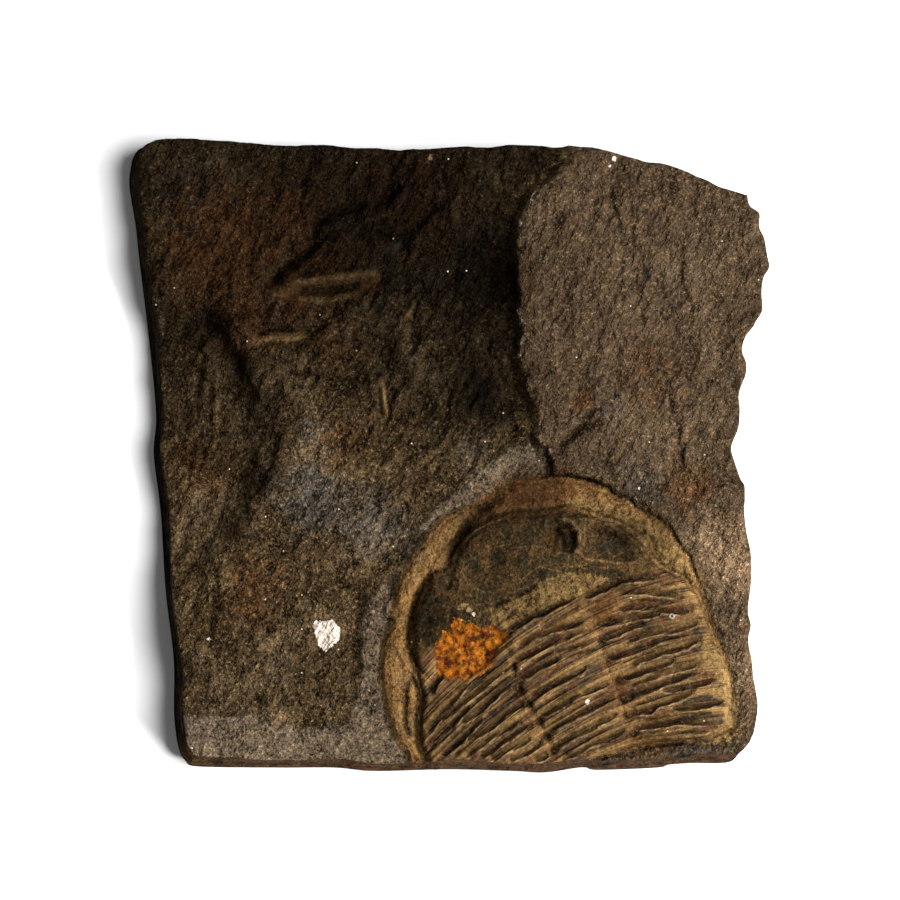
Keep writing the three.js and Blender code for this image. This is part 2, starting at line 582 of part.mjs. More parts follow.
// For each grid point, how far the face would stray if the point were left out, as a share of what is
// allowed there. The error of a larger triangle is never less than that of the smaller ones inside it,
// so neighbours always meet.
function thinningErrors(grid) {
  const size = FACE_DIVISIONS;
  const at = (column, row) => row * (size + 1) + column;
  const errors = new Float32Array(grid.length);
  const measure = (column, row, dx, dy) => {
    const a = grid[at(column - dx, row - dy)];
    const b = grid[at(column + dx, row + dy)];
    const point = grid[at(column, row)];
    const onEdge = column === 0 || row === 0 || column === size || row === size;
    const drift = Math.hypot(point.x - (a.x + b.x) / 2, point.y - (a.y + b.y) / 2);
    const strayed = Math.abs(point.z - (a.z + b.z) / 2) / tolerance(point);
    return onEdge ? Math.max(strayed, drift / EDGE_TOLERANCE) : strayed;
  };
  const raise = (column, row, offsets) => {
    for (const [dx, dy] of offsets) {
      const x = column + dx;
      const y = row + dy;
      if (x >= 0 && y >= 0 && x <= size && y <= size) {
        errors[at(column, row)] = Math.max(errors[at(column, row)], errors[at(x, y)]);
      }
    }
  };
  for (let step = 1; step < size; step *= 2) {
    const half = step / 2;
    const corners = step > 1 ? [[-half, -half], [half, -half], [-half, half], [half, half]] : [];
    const middles = [[-step, 0], [step, 0], [0, -step], [0, step]];
    for (let row = 0; row <= size; row += step) {
      for (let column = 0; column <= size; column += step) {
        const oddColumn = (column / step) % 2 === 1;
        const oddRow = (row / step) % 2 === 1;
        if (oddColumn !== oddRow) {
          const reach = oddColumn ? [step, 0] : [0, step];
          errors[at(column, row)] = measure(column, row, ...reach);
          raise(column, row, corners);
        }
      }
    }
    for (let row = step; row < size; row += 2 * step) {
      for (let column = step; column < size; column += 2 * step) {
        const rising = ((column - step) / (2 * step) + (row - step) / (2 * step)) % 2 === 0;
        errors[at(column, row)] = measure(column, row, step, rising ? step : -step);
        raise(column, row, middles);
      }
    }
  }
  return errors;
}

// Splits right triangles in half, from two that cover the whole face, until each is close enough
function thinFace(grid) {
  const size = FACE_DIVISIONS;
  const at = ([column, row]) => row * (size + 1) + column;
  const errors = thinningErrors(grid);
  const triangles = [];
  const split = (a, b, c) => {
    const middle = [(a[0] + b[0]) / 2, (a[1] + b[1]) / 2];
    const longEnough = Math.abs(a[0] - c[0]) + Math.abs(a[1] - c[1]) > 1;
    if (longEnough && errors[at(middle)] > 1) {
      split(c, a, middle);
      split(b, c, middle);
    } else {
      triangles.push([at(a), at(b), at(c)]);
    }
  };
  split([0, 0], [size, size], [0, size]);
  split([size, size], [0, 0], [size, 0]);
  return triangles;
}

// The grid points on the rim that the thinned face uses, once round, seen from above anticlockwise
function rimLoop(triangles) {
  const size = FACE_DIVISIONS;
  const used = new Set(triangles.flat());
  const loop = [];
  const visit = (column, row) => {
    const index = row * (size + 1) + column;
    if (used.has(index)) {
      loop.push({ index, u: column / size, v: row / size });
    }
  };
  for (let i = 0; i < size; i += 1) visit(i, 0);
  for (let i = 0; i < size; i += 1) visit(size, i);
  for (let i = size; i > 0; i -= 1) visit(i, size);
  for (let i = size; i > 0; i -= 1) visit(0, i);
  return loop;
}

function slabGeometry() {
  const grid = sampleFace();
  const face = thinFace(grid);
  const loop = rimLoop(face);
  const positions = [];
  const indices = [];
  const slots = new Map();
  const addPoint = (x, y, z) => positions.push(x, y, z) / 3 - 1;
  for (const corner of face.flat()) {
    if (!slots.has(corner)) {
      slots.set(corner, addPoint(grid[corner].x, grid[corner].y, grid[corner].z));
    }
    indices.push(slots.get(corner));
  }
  let upper = loop.map(({ index }) => slots.get(index));
  for (let ring = 1; ring <= WALL_RINGS; ring += 1) {
    const share = 1 - ring / WALL_RINGS;
    const lower = loop.map(({ index, u, v }) => {
      const [x, y] = spreadOverOutline(u, v, share);
      return addPoint(x, y, grid[index].z * share);
    });
    for (let i = 0; i < loop.length; i += 1) {
      const next = (i + 1) % loop.length;
      indices.push(upper[i], lower[i], upper[next]);
      indices.push(upper[next], lower[i], lower[next]);
    }
    upper = lower;
  }
  const outline = upper.map((slot) => new THREE.Vector2(positions[3 * slot], positions[3 * slot + 1]));
  for (const [a, b, c] of THREE.ShapeUtils.triangulateShape(outline, [])) {
    indices.push(upper[a], upper[c], upper[b]);
  }
  const geometry = new THREE.BufferGeometry();
  geometry.setAttribute('position', new THREE.Float32BufferAttribute(positions, 3));
  geometry.setIndex(indices);
  return geometry;
}

// Moves the geometry so that the middle of its box, seen from above, is at the origin
function centred(geometry) {
  geometry.computeBoundingBox();
  const middle = geometry.boundingBox.getCenter(new THREE.Vector3());
  geometry.translate(-middle.x, -middle.y, 0);
  geometry.computeVertexNormals();
  return geometry;
}

const shale = new THREE.MeshStandardMaterial({ color: '#4a3c2c', roughness: 0.8, metalness: 0 });
const slab = new THREE.Mesh(centred(slabGeometry()), shale);
slab.name = 'fossil_slab';

const fossil = new THREE.Group();
fossil.name = 'trilobite_fossil';
fossil.add(slab);

export default fossil;
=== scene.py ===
"""A slab of dark layered shale with a large trilobite in low relief at its near right corner.

The slab and the fossil are one piece of stone, so they are one closed mesh. Its outline, levels and
fossil follow the same driving dimensions as the frame's solid, in millimetres, and the mesh adds what
is finer than that solid's facets: the grain, flakes and ripples of the shale, the cracks and small
marks of the face, and the beds of the broken sides.
"""
import math

import bmesh
import bpy
import numpy as np
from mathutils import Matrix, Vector


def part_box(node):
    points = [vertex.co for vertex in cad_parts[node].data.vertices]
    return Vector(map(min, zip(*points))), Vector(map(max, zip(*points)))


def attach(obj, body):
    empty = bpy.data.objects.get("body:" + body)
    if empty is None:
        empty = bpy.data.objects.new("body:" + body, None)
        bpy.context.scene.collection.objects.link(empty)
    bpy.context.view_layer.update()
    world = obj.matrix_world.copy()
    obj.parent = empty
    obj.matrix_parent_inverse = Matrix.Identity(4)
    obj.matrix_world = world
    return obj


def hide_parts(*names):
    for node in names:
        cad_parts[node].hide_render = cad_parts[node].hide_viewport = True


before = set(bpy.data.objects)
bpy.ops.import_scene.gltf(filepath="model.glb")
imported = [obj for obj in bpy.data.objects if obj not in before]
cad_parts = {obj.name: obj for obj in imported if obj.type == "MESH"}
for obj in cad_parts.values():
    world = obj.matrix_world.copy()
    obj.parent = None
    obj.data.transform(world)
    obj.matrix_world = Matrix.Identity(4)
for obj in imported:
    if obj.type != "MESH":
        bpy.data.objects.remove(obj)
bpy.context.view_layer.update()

SLAB_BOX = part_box("fossil_slab")
MM = 0.001

# Levels above the underside and steps between the parts of the face, in millimetres
MIDDLE_LEVEL = 9.0
MIDDLE_TILT = 0.022
BACK_SAG = 0.7
PLATEAU_LEVEL = 12.6
PLATEAU_TILT = 0.045
PLATEAU_START = 12
RIGHT_MARGIN_FALL = 1.5
SPALL_DROP = 1.9
SPALL_TILT = 0.05
FRONT_LEDGE_RISE = 0.8
CORNER_LEDGE_RISE = 0.55
SHIELD_LEVEL = 9.9
BRIM_RISE = 0.55
BORDER_FURROW_DEPTH = 0.45
BORDER_FURROW_WIDTH = 2.0
BODY_RISE = 1.0
BODY_DOME = 0.7
BODY_DOME_REACH = 7.0
AXIS_RISE = 1.2
AXIS_START = -29.5
AXIS_RUN_IN = 8
AXIS_SKEW = 0.4
AXIS_ROUNDNESS = 0.7
LEFT_FURROW_DEPTH = 0.75
AXIS_FURROW_DEPTH = 0.8
RIGHT_FURROW_DEPTH = 0.7
FURROW_GENTLE_WIDTH = 1.8
FURROW_STEEP_WIDTH = 0.8
FURROW_SHARPNESS = 1.4
AXIS_PIT_RADIUS = 0.9
AXIS_PIT_DEPTH = 0.6
STEP_FOOT = 0.4
SWELL_CALMED = 0.85
EDGE_CHIP = 0.5
EDGE_CHIP_REACH = 0.9

# Where each break starts and ends, measured inwards across the edge of its area
PLATEAU_SCARP = (-1.9, 0.3)
RIGHT_MARGIN_SLOPE = (-6, 24)
SPALL_SCARP = (-1.0, 3.6)
LEDGE_SCARP = (-0.5, 0.7)
SHIELD_EDGE = (-0.3, 1.2)
BODY_EDGE = (-0.3, 1.1)
BACK_SAG_SPAN = (-10, 40)
END_FADE = (0, 0.09)

# The sides: how far the near and left ones lean out and the far and right ones are undercut, how far
# the beds and lumps stand out, and where the sides start across the slab
LEFT_BATTER = 1.3
FRONT_BATTER = 1.5
HIDDEN_UNDERCUT = 1.1
BED_THICKNESS = 3.4
BED_STEP = 0.45
SIDE_SPAN = (30, 50)
AROUND_SKEW = 0.7
WALL_BED_LENGTH = 9
WALL_BED_SIZE = 1.1
WALL_LUMP_SIZE = 4.5
WALL_BASE = 0.3
WALL_BEDS = 0.2
WALL_LUMPS = 0.36

# How finely the mesh is divided: cells across the face, rings down the sides, and how much denser the
# cells are over the fossil, between two shares of the face's width and depth
FACE_CELLS = 270
WALL_RINGS = 20
FOSSIL_DENSITY = 0.9
FOSSIL_SPAN_ACROSS = (0.37, 1.2)
FOSSIL_SPAN_DEEP = (-0.2, 0.5)
CURVE_STEPS_PER_POINT = 3
SMOOTH_STEPS_PER_POINT = 24
RIM_STEPS_PER_SIDE = 60

# The widest outline of the slab, in four runs that meet at its corners
OUTLINE_BACK = [
    (-55.6, 52.9), (-54, 55), (-49, 55.8), (-37, 55), (-20, 54.2), (-5, 53.7), (3, 54), (10, 54.3),
    (18, 54.1), (21, 54.6), (24.5, 53.9), (28, 53.1), (33, 51.7), (38, 50.8), (42, 49.4), (47, 47.4),
    (50, 46.4), (52.4, 45.5),
]
OUTLINE_RIGHT = [
    (52, -52.7), (53.7, -50.2), (54.4, -45.7), (53.7, -40.4), (53.5, -36.3), (52.8, -32.2), (53.1, -29.7),
    (52.6, -27.2), (53, -22), (53, -18), (52.3, -12), (52, -6), (51.1, -4.1), (50, -1), (49.5, 1.4),
    (50.7, 4.6), (51.4, 7.8), (51.4, 11), (52.1, 13.7), (52.1, 16.1), (51.4, 18.1), (51.9, 20.5),
    (53.7, 22.9), (54.9, 25.2), (54.8, 28.4), (55.1, 30.8), (56.2, 32.8), (56.1, 34.8), (55.5, 38),
    (54.6, 40), (54.5, 42.3), (52.9, 43.7), (52.4, 45.5),
]
OUTLINE_FRONT = [
    (-46, -54), (-44, -54.8), (-30, -55), (-20, -55), (-13, -55.6), (0, -55.3), (11.4, -55.6),
    (17, -55.85), (23.5, -54.95), (26.2, -55.4), (37, -55), (39.2, -54.5), (43.6, -54.2), (50.1, -54.1),
    (52, -52.7),
]
OUTLINE_LEFT = [
    (-46, -54), (-47.3, -52), (-48.2, -46), (-48.3, -36), (-49.7, -24), (-50.6, -10), (-51.8, 0),
    (-51.4, 7), (-52.5, 19), (-54.3, 34), (-55, 41), (-56.1, 48.5), (-55.6, 52.9),
]

# Bright upper plateau on the right, bounded by a steep crest on its left and by the fossil below
PLATEAU = [
    (24.5, 58), (24.5, 53), (21, 50), (17.4, 47), (14.6, 45), (13, 42.7), (12.2, 40), (12.5, 35),
    (12.6, 23), (12.5, 17.7), (13.5, 15), (14.2, 11.3), (15.2, 8.2), (15.6, 4.2), (17.4, 1.8),
    (18.4, -3.2), (24, -3.9), (28, -5), (32.4, -7.2), (37, -10.5), (41, -14.8), (44, -20), (46, -27),
    (48.5, -34), (50.4, -41), (51.4, -48), (49, -51), (44, -52), (36, -52), (28, -53.5), (21, -58),
    (62, -60), (62, 58),
]

# Lower facet where a flake has split off the left edge
SPALL = [
    (-62, 28), (-45, 26), (-40, 24.5), (-37, 20), (-35, 15), (-33, 8), (-31, 3), (-32, -2), (-34, -8),
    (-38, -15), (-44, -21), (-50, -23), (-62, -25),
]

# Smooth grey ledge around the front of the head, and the one along the near left corner
FRONT_LEDGE = [
    (17.4, 1.8), (14.5, 2.3), (12, 1.9), (8, -0.6), (5.3, -1.9), (3.8, -3.7), (2, -5.6), (0.1, -7.1),
    (-2.4, -8.7), (-4, -11.6), (-5.2, -14.5), (-6.8, -16.9), (-8.3, -19.7), (-9.6, -22.7),
    (-10.7, -25.7), (-11.3, -29), (-5, -29), (8, -10), (18, -6),
]
CORNER_LEDGE = [
    (-11.5, -22), (-14, -25), (-15, -30), (-15.5, -38), (-16.5, -44), (-18, -46.5), (-22, -48),
    (-28, -47.5), (-32, -46.5), (-35, -45.5), (-42, -45.7), (-60, -45.3), (-60, -62), (-4, -62), (-8, -30),
]

# Outline of the whole trilobite, and of the raised body inside its border furrow
SHIELD = [
    (15, -3.6), (18.4, -3.7), (21.6, -3.6), (23.9, -4.2), (27.8, -5.4), (29.3, -7.1), (32, -7.5),
    (32.7, -9), (35, -10.2), (38.7, -11.9), (39.4, -13.5), (41.2, -16.5), (42.5, -17.9), (43.1, -20.2),
    (44.6, -23.5), (45.8, -27.5), (47.3, -32.5), (48.4, -35), (49.6, -38.5), (49.9, -41), (50.4, -44),
    (50.9, -47.5), (48.5, -50), (45, -51.3), (40.8, -50.7), (36, -51.1), (32.5, -51.7), (28, -52.6),
    (24, -53.6), (21, -55), (10, -62), (-7, -62), (-6.9, -54.5), (-7.7, -51.9), (-9.5, -49.8),
    (-10.4, -47), (-11.2, -44), (-12, -39.5), (-12, -37.4), (-11.5, -32.1), (-10.5, -30.7), (-10, -26),
    (-9.1, -22.8), (-7.7, -19.7), (-6, -16.6), (-3.9, -13.7), (-1.4, -11.1), (1.3, -9.6), (5.2, -8.1),
    (9.1, -5.6), (12, -4.1),
]
BODY = [
    (14, -10.4), (17, -10.2), (20.6, -9.5), (22.8, -9.9), (25, -10.4), (27.3, -11.2), (29.5, -11.9),
    (31.7, -13), (33.2, -14.1), (34.3, -15.6), (35.1, -17.5), (37, -19.6), (41, -21.6), (43.5, -24.5),
    (44.8, -27.5), (46.2, -32), (47.8, -35.5), (48.9, -39), (49.2, -43.5), (49.4, -47.4), (45, -49.6),
    (40.8, -50), (36.2, -50.4), (32.7, -51), (26, -53), (20, -56), (10, -62), (-3.5, -62), (-3.6, -53.3),
    (-4.8, -51), (-5, -46), (-4.4, -43.5), (-4.8, -41), (-5.5, -38), (-6, -35), (-6.4, -31.5),
    (-6.2, -29), (-5.4, -27), (-4.6, -24.8), (-3.6, -22.6), (-2.6, -21.3), (-0.6, -20.9), (0.6, -19.9),
    (0.8, -18.4), (1.4, -17.2), (3.3, -14.5), (4.8, -13.1), (6.4, -12.2), (8.1, -11.4), (11, -10.7),
]

# The two furrows that part the middle axis of the thorax from its side lobes
AXIS_LEFT = [
    (4.5, -22), (6.3, -26), (8, -30), (9.6, -33), (11.3, -37.4), (12.4, -41), (14.2, -44), (16, -46.8),
    (17.3, -49.5), (19.5, -56),
]
AXIS_RIGHT = [
    (21.5, -19), (23, -23), (24.5, -27), (26.4, -31), (26.9, -34), (27.7, -37.5), (29, -40.2),
    (30.2, -43), (31.3, -46), (32.2, -49), (34, -56),
]

# Furrows of the thorax, all drawn from left to right: those of the left side lobe
LEFT_FURROWS = [
    [(-3.2, -42), (-2.4, -40.5), (-1.7, -39.2), (-0.9, -38.6)],
    [(-3.8, -48.6), (-2.9, -47.5), (-1.6, -45.9), (-0.2, -44.2), (0.8, -43), (2.2, -41.2), (3.7, -39.8)],
    [
        (-1.6, -46.6), (-0.8, -45.9), (0.8, -44.7), (2.5, -43.3), (4, -42.1), (5.6, -40.8),
        (8.1, -38.8), (10.8, -36.9),
    ],
    [
        (-3.4, -51.6), (-2.7, -50.6), (-1.6, -49.1), (-0.1, -48), (1.1, -46.8), (1.9, -45.6),
        (3.1, -44.5), (4.2, -43.2),
    ],
    [(2, -47.1), (3.2, -46.3), (4.5, -45.5), (6, -44.2), (7.5, -42.7), (9.5, -41), (12, -39.5)],
    [
        (-1.6, -53.4), (-0.5, -52.3), (0.8, -51.2), (2.2, -49.9), (3.4, -48.7), (4.4, -47.5),
        (5.4, -46.5), (6.6, -45.6),
    ],
    [
        (3, -50.4), (4.2, -49.5), (5.6, -48.7), (6.9, -48), (8.8, -46.5), (10.4, -45), (12.6, -43.6),
        (13.6, -43),
    ],
    [
        (2.7, -53.3), (4.1, -52), (5.4, -51), (6.6, -50), (7.8, -49.1), (9.2, -48.3), (11, -47.5),
        (13.4, -46.3),
    ],
    [
        (5.2, -53.3), (6.4, -52.5), (7.6, -51.8), (8.8, -50.6), (10.1, -49.9), (11.6, -48.8),
        (12.7, -48), (14.8, -46.8),
    ],
    [(7.4, -53.6), (8.4, -52.8), (9.5, -51.9), (12.2, -50.7), (15, -49.4)],
    [(10.5, -53.5), (12.2, -52.8), (13.8, -52), (16.8, -49.8)],
    [(15, -53.8), (16.6, -53.1), (17.6, -52.2)],
]

# Furrows between the rings of the axis
AXIS_FURROWS = [
    [
        (9.8, -31), (11.5, -30.1), (13, -29.2), (14.6, -28.2), (16.6, -27.7), (17.8, -26.9),
        (19.3, -26.1), (20.5, -25.7), (22.4, -25.2),
    ],
    [
        (12.1, -33.9), (13.5, -32.8), (15, -32), (16.2, -31.4), (18.1, -30.6), (20, -30.2),
        (21.9, -29.8), (23.8, -29.3),
    ],
    [
        (10.8, -36.2), (12.7, -35.5), (15, -34.4), (16.2, -33.8), (18.1, -32.8), (20, -32.2),
        (21.6, -31.4), (22.9, -30.8), (24.6, -30.7),
    ],
    [(12, -39.3), (13.7, -38.6), (15, -37.6), (16.4, -36.8), (18.1, -36), (19.8, -35.6)],
    [
        (14, -42.8), (15.9, -41.6), (17.5, -40.6), (18.8, -40), (20.1, -39.4), (21.5, -38.6),
        (23.2, -37.8), (25, -36.2),
    ],
    [
        (15.3, -46.2), (17.5, -44.9), (20.1, -43.6), (22.3, -42.1), (23.9, -41.6), (25.3, -41),
        (27, -40.3), (28.4, -39.9),
    ],
    [
        (17.1, -49), (19.1, -47.5), (20.7, -46.5), (22.3, -45.6), (23.9, -44.9), (25.1, -44.3),
        (26.7, -43.3), (29.4, -42.6),
    ],
    [
        (17.6, -52.2), (19.1, -51.1), (20.7, -49.9), (22.6, -48.9), (24.8, -47.8), (27, -46.5),
        (28.6, -45.7), (30.2, -45.1),
    ],
    [
        (19.1, -53.8), (21.2, -53), (23.1, -51.8), (24.7, -50.7), (27.1, -49.9), (28.6, -49.4),
        (30.2, -48.3), (31.4, -47.9),
    ],
]

# Furrows of the right side lobe, from the back of the head to the last ring
RIGHT_FURROWS = [
    [
        (23.2, -25), (24.5, -24.8), (26, -24), (27.5, -23.3), (28.5, -22.7), (30, -22.1), (32.5, -21.7),
        (35.8, -21.3), (37.1, -20.5),
    ],
    [(29.5, -24.6), (31, -24), (32.5, -23.8), (35, -24), (37, -24.3), (39, -24.4), (41.2, -25)],
    [
        (29, -27.6), (30.5, -27), (32, -26.7), (34, -26.7), (35.6, -27), (37.5, -27.2), (41, -27.4),
        (43, -27.2),
    ],
    [
        (25, -29.8), (27, -29.6), (28.6, -29.3), (30, -29), (32, -28.6), (34, -28.2), (36, -27.9),
        (37.8, -27.9),
    ],
    [(26.3, -32.5), (28, -31.8), (29.5, -31.3), (31, -30.5), (33, -29.7), (34.6, -29.4)],
    [
        (30.6, -33.4), (32.2, -32.3), (33.5, -31.6), (35, -31.2), (37, -30.9), (39, -30.8), (41, -30.2),
        (43, -29.5), (44.6, -29.2),
    ],
    [(27.2, -35.8), (29, -35.4), (30.5, -35), (32, -34.5), (33.4, -34), (35.4, -33.2), (36.6, -32.7)],
    [
        (31, -37.3), (33, -36.3), (34.5, -35.5), (36, -35.1), (37.6, -34.5), (40, -34), (41.5, -33.4),
        (43, -32.6), (44.4, -32.7),
    ],
    [
        (30, -39.4), (31.6, -38.8), (33.5, -38.1), (35.1, -37.6), (36.4, -37.3), (38.4, -36.3),
        (40, -35.5),
    ],
    [(33.6, -39.8), (35.6, -38.9), (37, -38.2), (39, -37.8), (40.8, -37.4), (42.2, -37), (44, -36.3)],
    [
        (30.4, -42.3), (31.9, -42.3), (33.3, -41.7), (35.1, -41.1), (36.8, -40.5), (38.1, -39.8),
        (39.7, -39.4), (41.6, -38.7), (43.6, -38.2),
    ],
    [(36.6, -41.5), (39.1, -40.9), (41.4, -40.8), (43.2, -40.3), (45, -39.8), (46.8, -39.2)],
    [
        (31.1, -45.1), (32.7, -45.1), (35.1, -44.8), (36.5, -43.8), (38.1, -43.3), (39.8, -42.7),
        (41.8, -41.9), (43.3, -41.2),
    ],
    [(38.7, -44.5), (40.6, -44.3), (42.9, -44.1), (45, -43.8), (46.4, -43.4), (48.8, -42.9)],
    [
        (31.8, -47.9), (33.5, -47.7), (35.1, -47.5), (36.8, -47.2), (39.1, -46.7), (41.4, -46.7),
        (43.8, -46.8), (46.4, -47.1),
    ],
    [(33, -51.7), (34.5, -51.5), (36.2, -50.8), (38.1, -50.4), (40, -50.3), (41.4, -49.9)],
]

# Deeper notches where the axial furrows cross the furrows of the rings
AXIS_PITS = [
    (11.3, -37.2), (12.4, -41), (14.2, -43.7), (15.9, -46.6), (17.2, -49.3), (18.4, -51.9),
    (26.7, -32.6), (28.2, -35.6), (29.8, -39.3), (30.5, -42.6), (31.2, -45.5), (32.5, -48.8),
]

# Cut lines, and raised ones with a negative depth: path, half width, depth
GROOVES = [
    ([(-7, -38.5), (-7.5, -42), (-7.6, -46), (-6.9, -50)], 0.6, 0.5),
    ([(18.3, -13.9), (19, -12.7), (20.3, -12.6), (21.4, -14), (21.5, -15.5), (20.8, -16.9)], 0.6, 0.7),
    ([(22.5, -13.5), (22.6, -15.5), (21.9, -17.6)], 0.6, -0.4),
    ([(0.5, -21.2), (0, -22.6), (-0.4, -24.1)], 0.5, 0.4),
    ([(17, -10.4), (16.7, -13.8)], 0.6, -0.3),
    ([(-9.6, -32.5), (-8, -35.7), (-5.9, -38.8), (-4.9, -41)], 0.5, -0.4),
    ([(7.5, -27.9), (8.7, -26), (11.4, -24.8), (13.9, -23.8), (16.5, -21.4)], 0.6, 0.45),
    ([(14, -3.7), (19.8, -3.7), (23.5, -4.2), (27.5, -5.4)], 0.4, 0.5),
    ([(18.8, 0.2), (21.4, 3.4), (23.8, 4.6), (27.8, 6.6)], 0.8, 0.7),
    ([(-26.5, 28.6), (-21, 28.9), (-15.3, 29.8)], 0.6, 0.8),
    ([(-29.3, 29.8), (-22, 30.7), (-15, 31.8), (-12, 31.4)], 0.8, -0.7),
    ([(-27, 27.6), (-21, 27.2), (-15.8, 28.4)], 0.6, -0.5),
]

# Small broken steps of the bedding: the stone on the left of each path stands higher, and the step
# dies away on both sides of it: path, height, reach
LONG_BREAK = [
    (-6.4, 50.5), (-8.9, 47.2), (-10.3, 44.2), (-13.3, 43.1), (-19.8, 41.7), (-22, 40.2), (-23.5, 36.2),
    (-26, 33.6), (-30, 31.4), (-30.8, 26.7),
]
SHORT_BREAK = [
    (1, 44.6), (-2.2, 43.4), (-3.4, 41.3), (-6, 39.1), (-7.6, 35.5),
]
LEFT_BREAK = [
    (-18.4, 27), (-20.2, 24.1), (-22, 22.3), (-25.5, 19.8),
]
BEDDING_STEPS = [
    (LONG_BREAK, 0.75, 5),
    (SHORT_BREAK, 0.6, 4),
    (LEFT_BREAK, 0.55, 4),
    ([(30.8, 22), (29.8, 31), (30.5, 36.4), (32, 40), (33.4, 46.5)], 0.4, 5),
]

# Low bosses, and pits with a negative height: place, radius, height
BOSSES = [
    ((20, -15), 1.3, 0.6),
    ((12, -17.5), 8, 0.7),
    ((26.3, 9.8), 1.9, 0.7),
    ((2.9, -26.3), 1.0, 0.4),
    ((-9.6, 36.6), 1.3, 0.4),
    ((-13.8, 29.8), 1.1, 0.4),
    ((41, -21.3), 0.8, -0.6),
    ((-11, 37.5), 0.8, -0.5),
    ((4, -34.5), 4.5, -0.35),
    ((42.5, -34), 2.2, 0.25),
    ((-14, -51), 3.5, 0.5),
]

# Finer steps than the frame's solid holds, in the same form
FINE_STEPS = [
    ([
        (-43.3, 25.5), (-40, 22.6), (-37.5, 19.4), (-34.4, 12), (-30.8, 7), (-29.8, 1.4), (-31.6, -4),
        (-34.6, -8.4), (-37, -12),
    ], 1.0, 3.5),
    (LONG_BREAK, 0.6, 3),
    (SHORT_BREAK, 0.5, 3),
    ([(-24.6, 48.6), (-25, 46), (-25.8, 43.4), (-26.4, 40.8)], 0.7, 2.5),
    ([(-23.8, 19.8), (-27.6, 19.4), (-31, 19.6), (-35, 18.4)], 0.7, 2.5),
    ([(-11.8, 13.4), (-18, 13.2), (-24.2, 14), (-30, 14.4)], 0.5, 2.5),
    (LEFT_BREAK, 0.4, 3),
    ([(-6, 22), (-2, 17), (0.5, 11), (0, 5), (-3, 0)], 0.5, 3.5),
    ([(-44, -14), (-41, -19), (-40, -26), (-42, -33)], 0.5, 3.5),
    ([(-30, -22), (-25, -24), (-20, -22), (-14, -24)], 0.4, 3),
    ([(30, 50), (29, 44), (31, 38), (30, 30), (28, 24)], 0.4, 3.5),
    ([(42, 40), (41, 32), (43, 25), (41, 16)], 0.4, 3.5),
    ([(36, 14), (40, 8), (41, 0), (45, -8)], 0.5, 3.5),
]

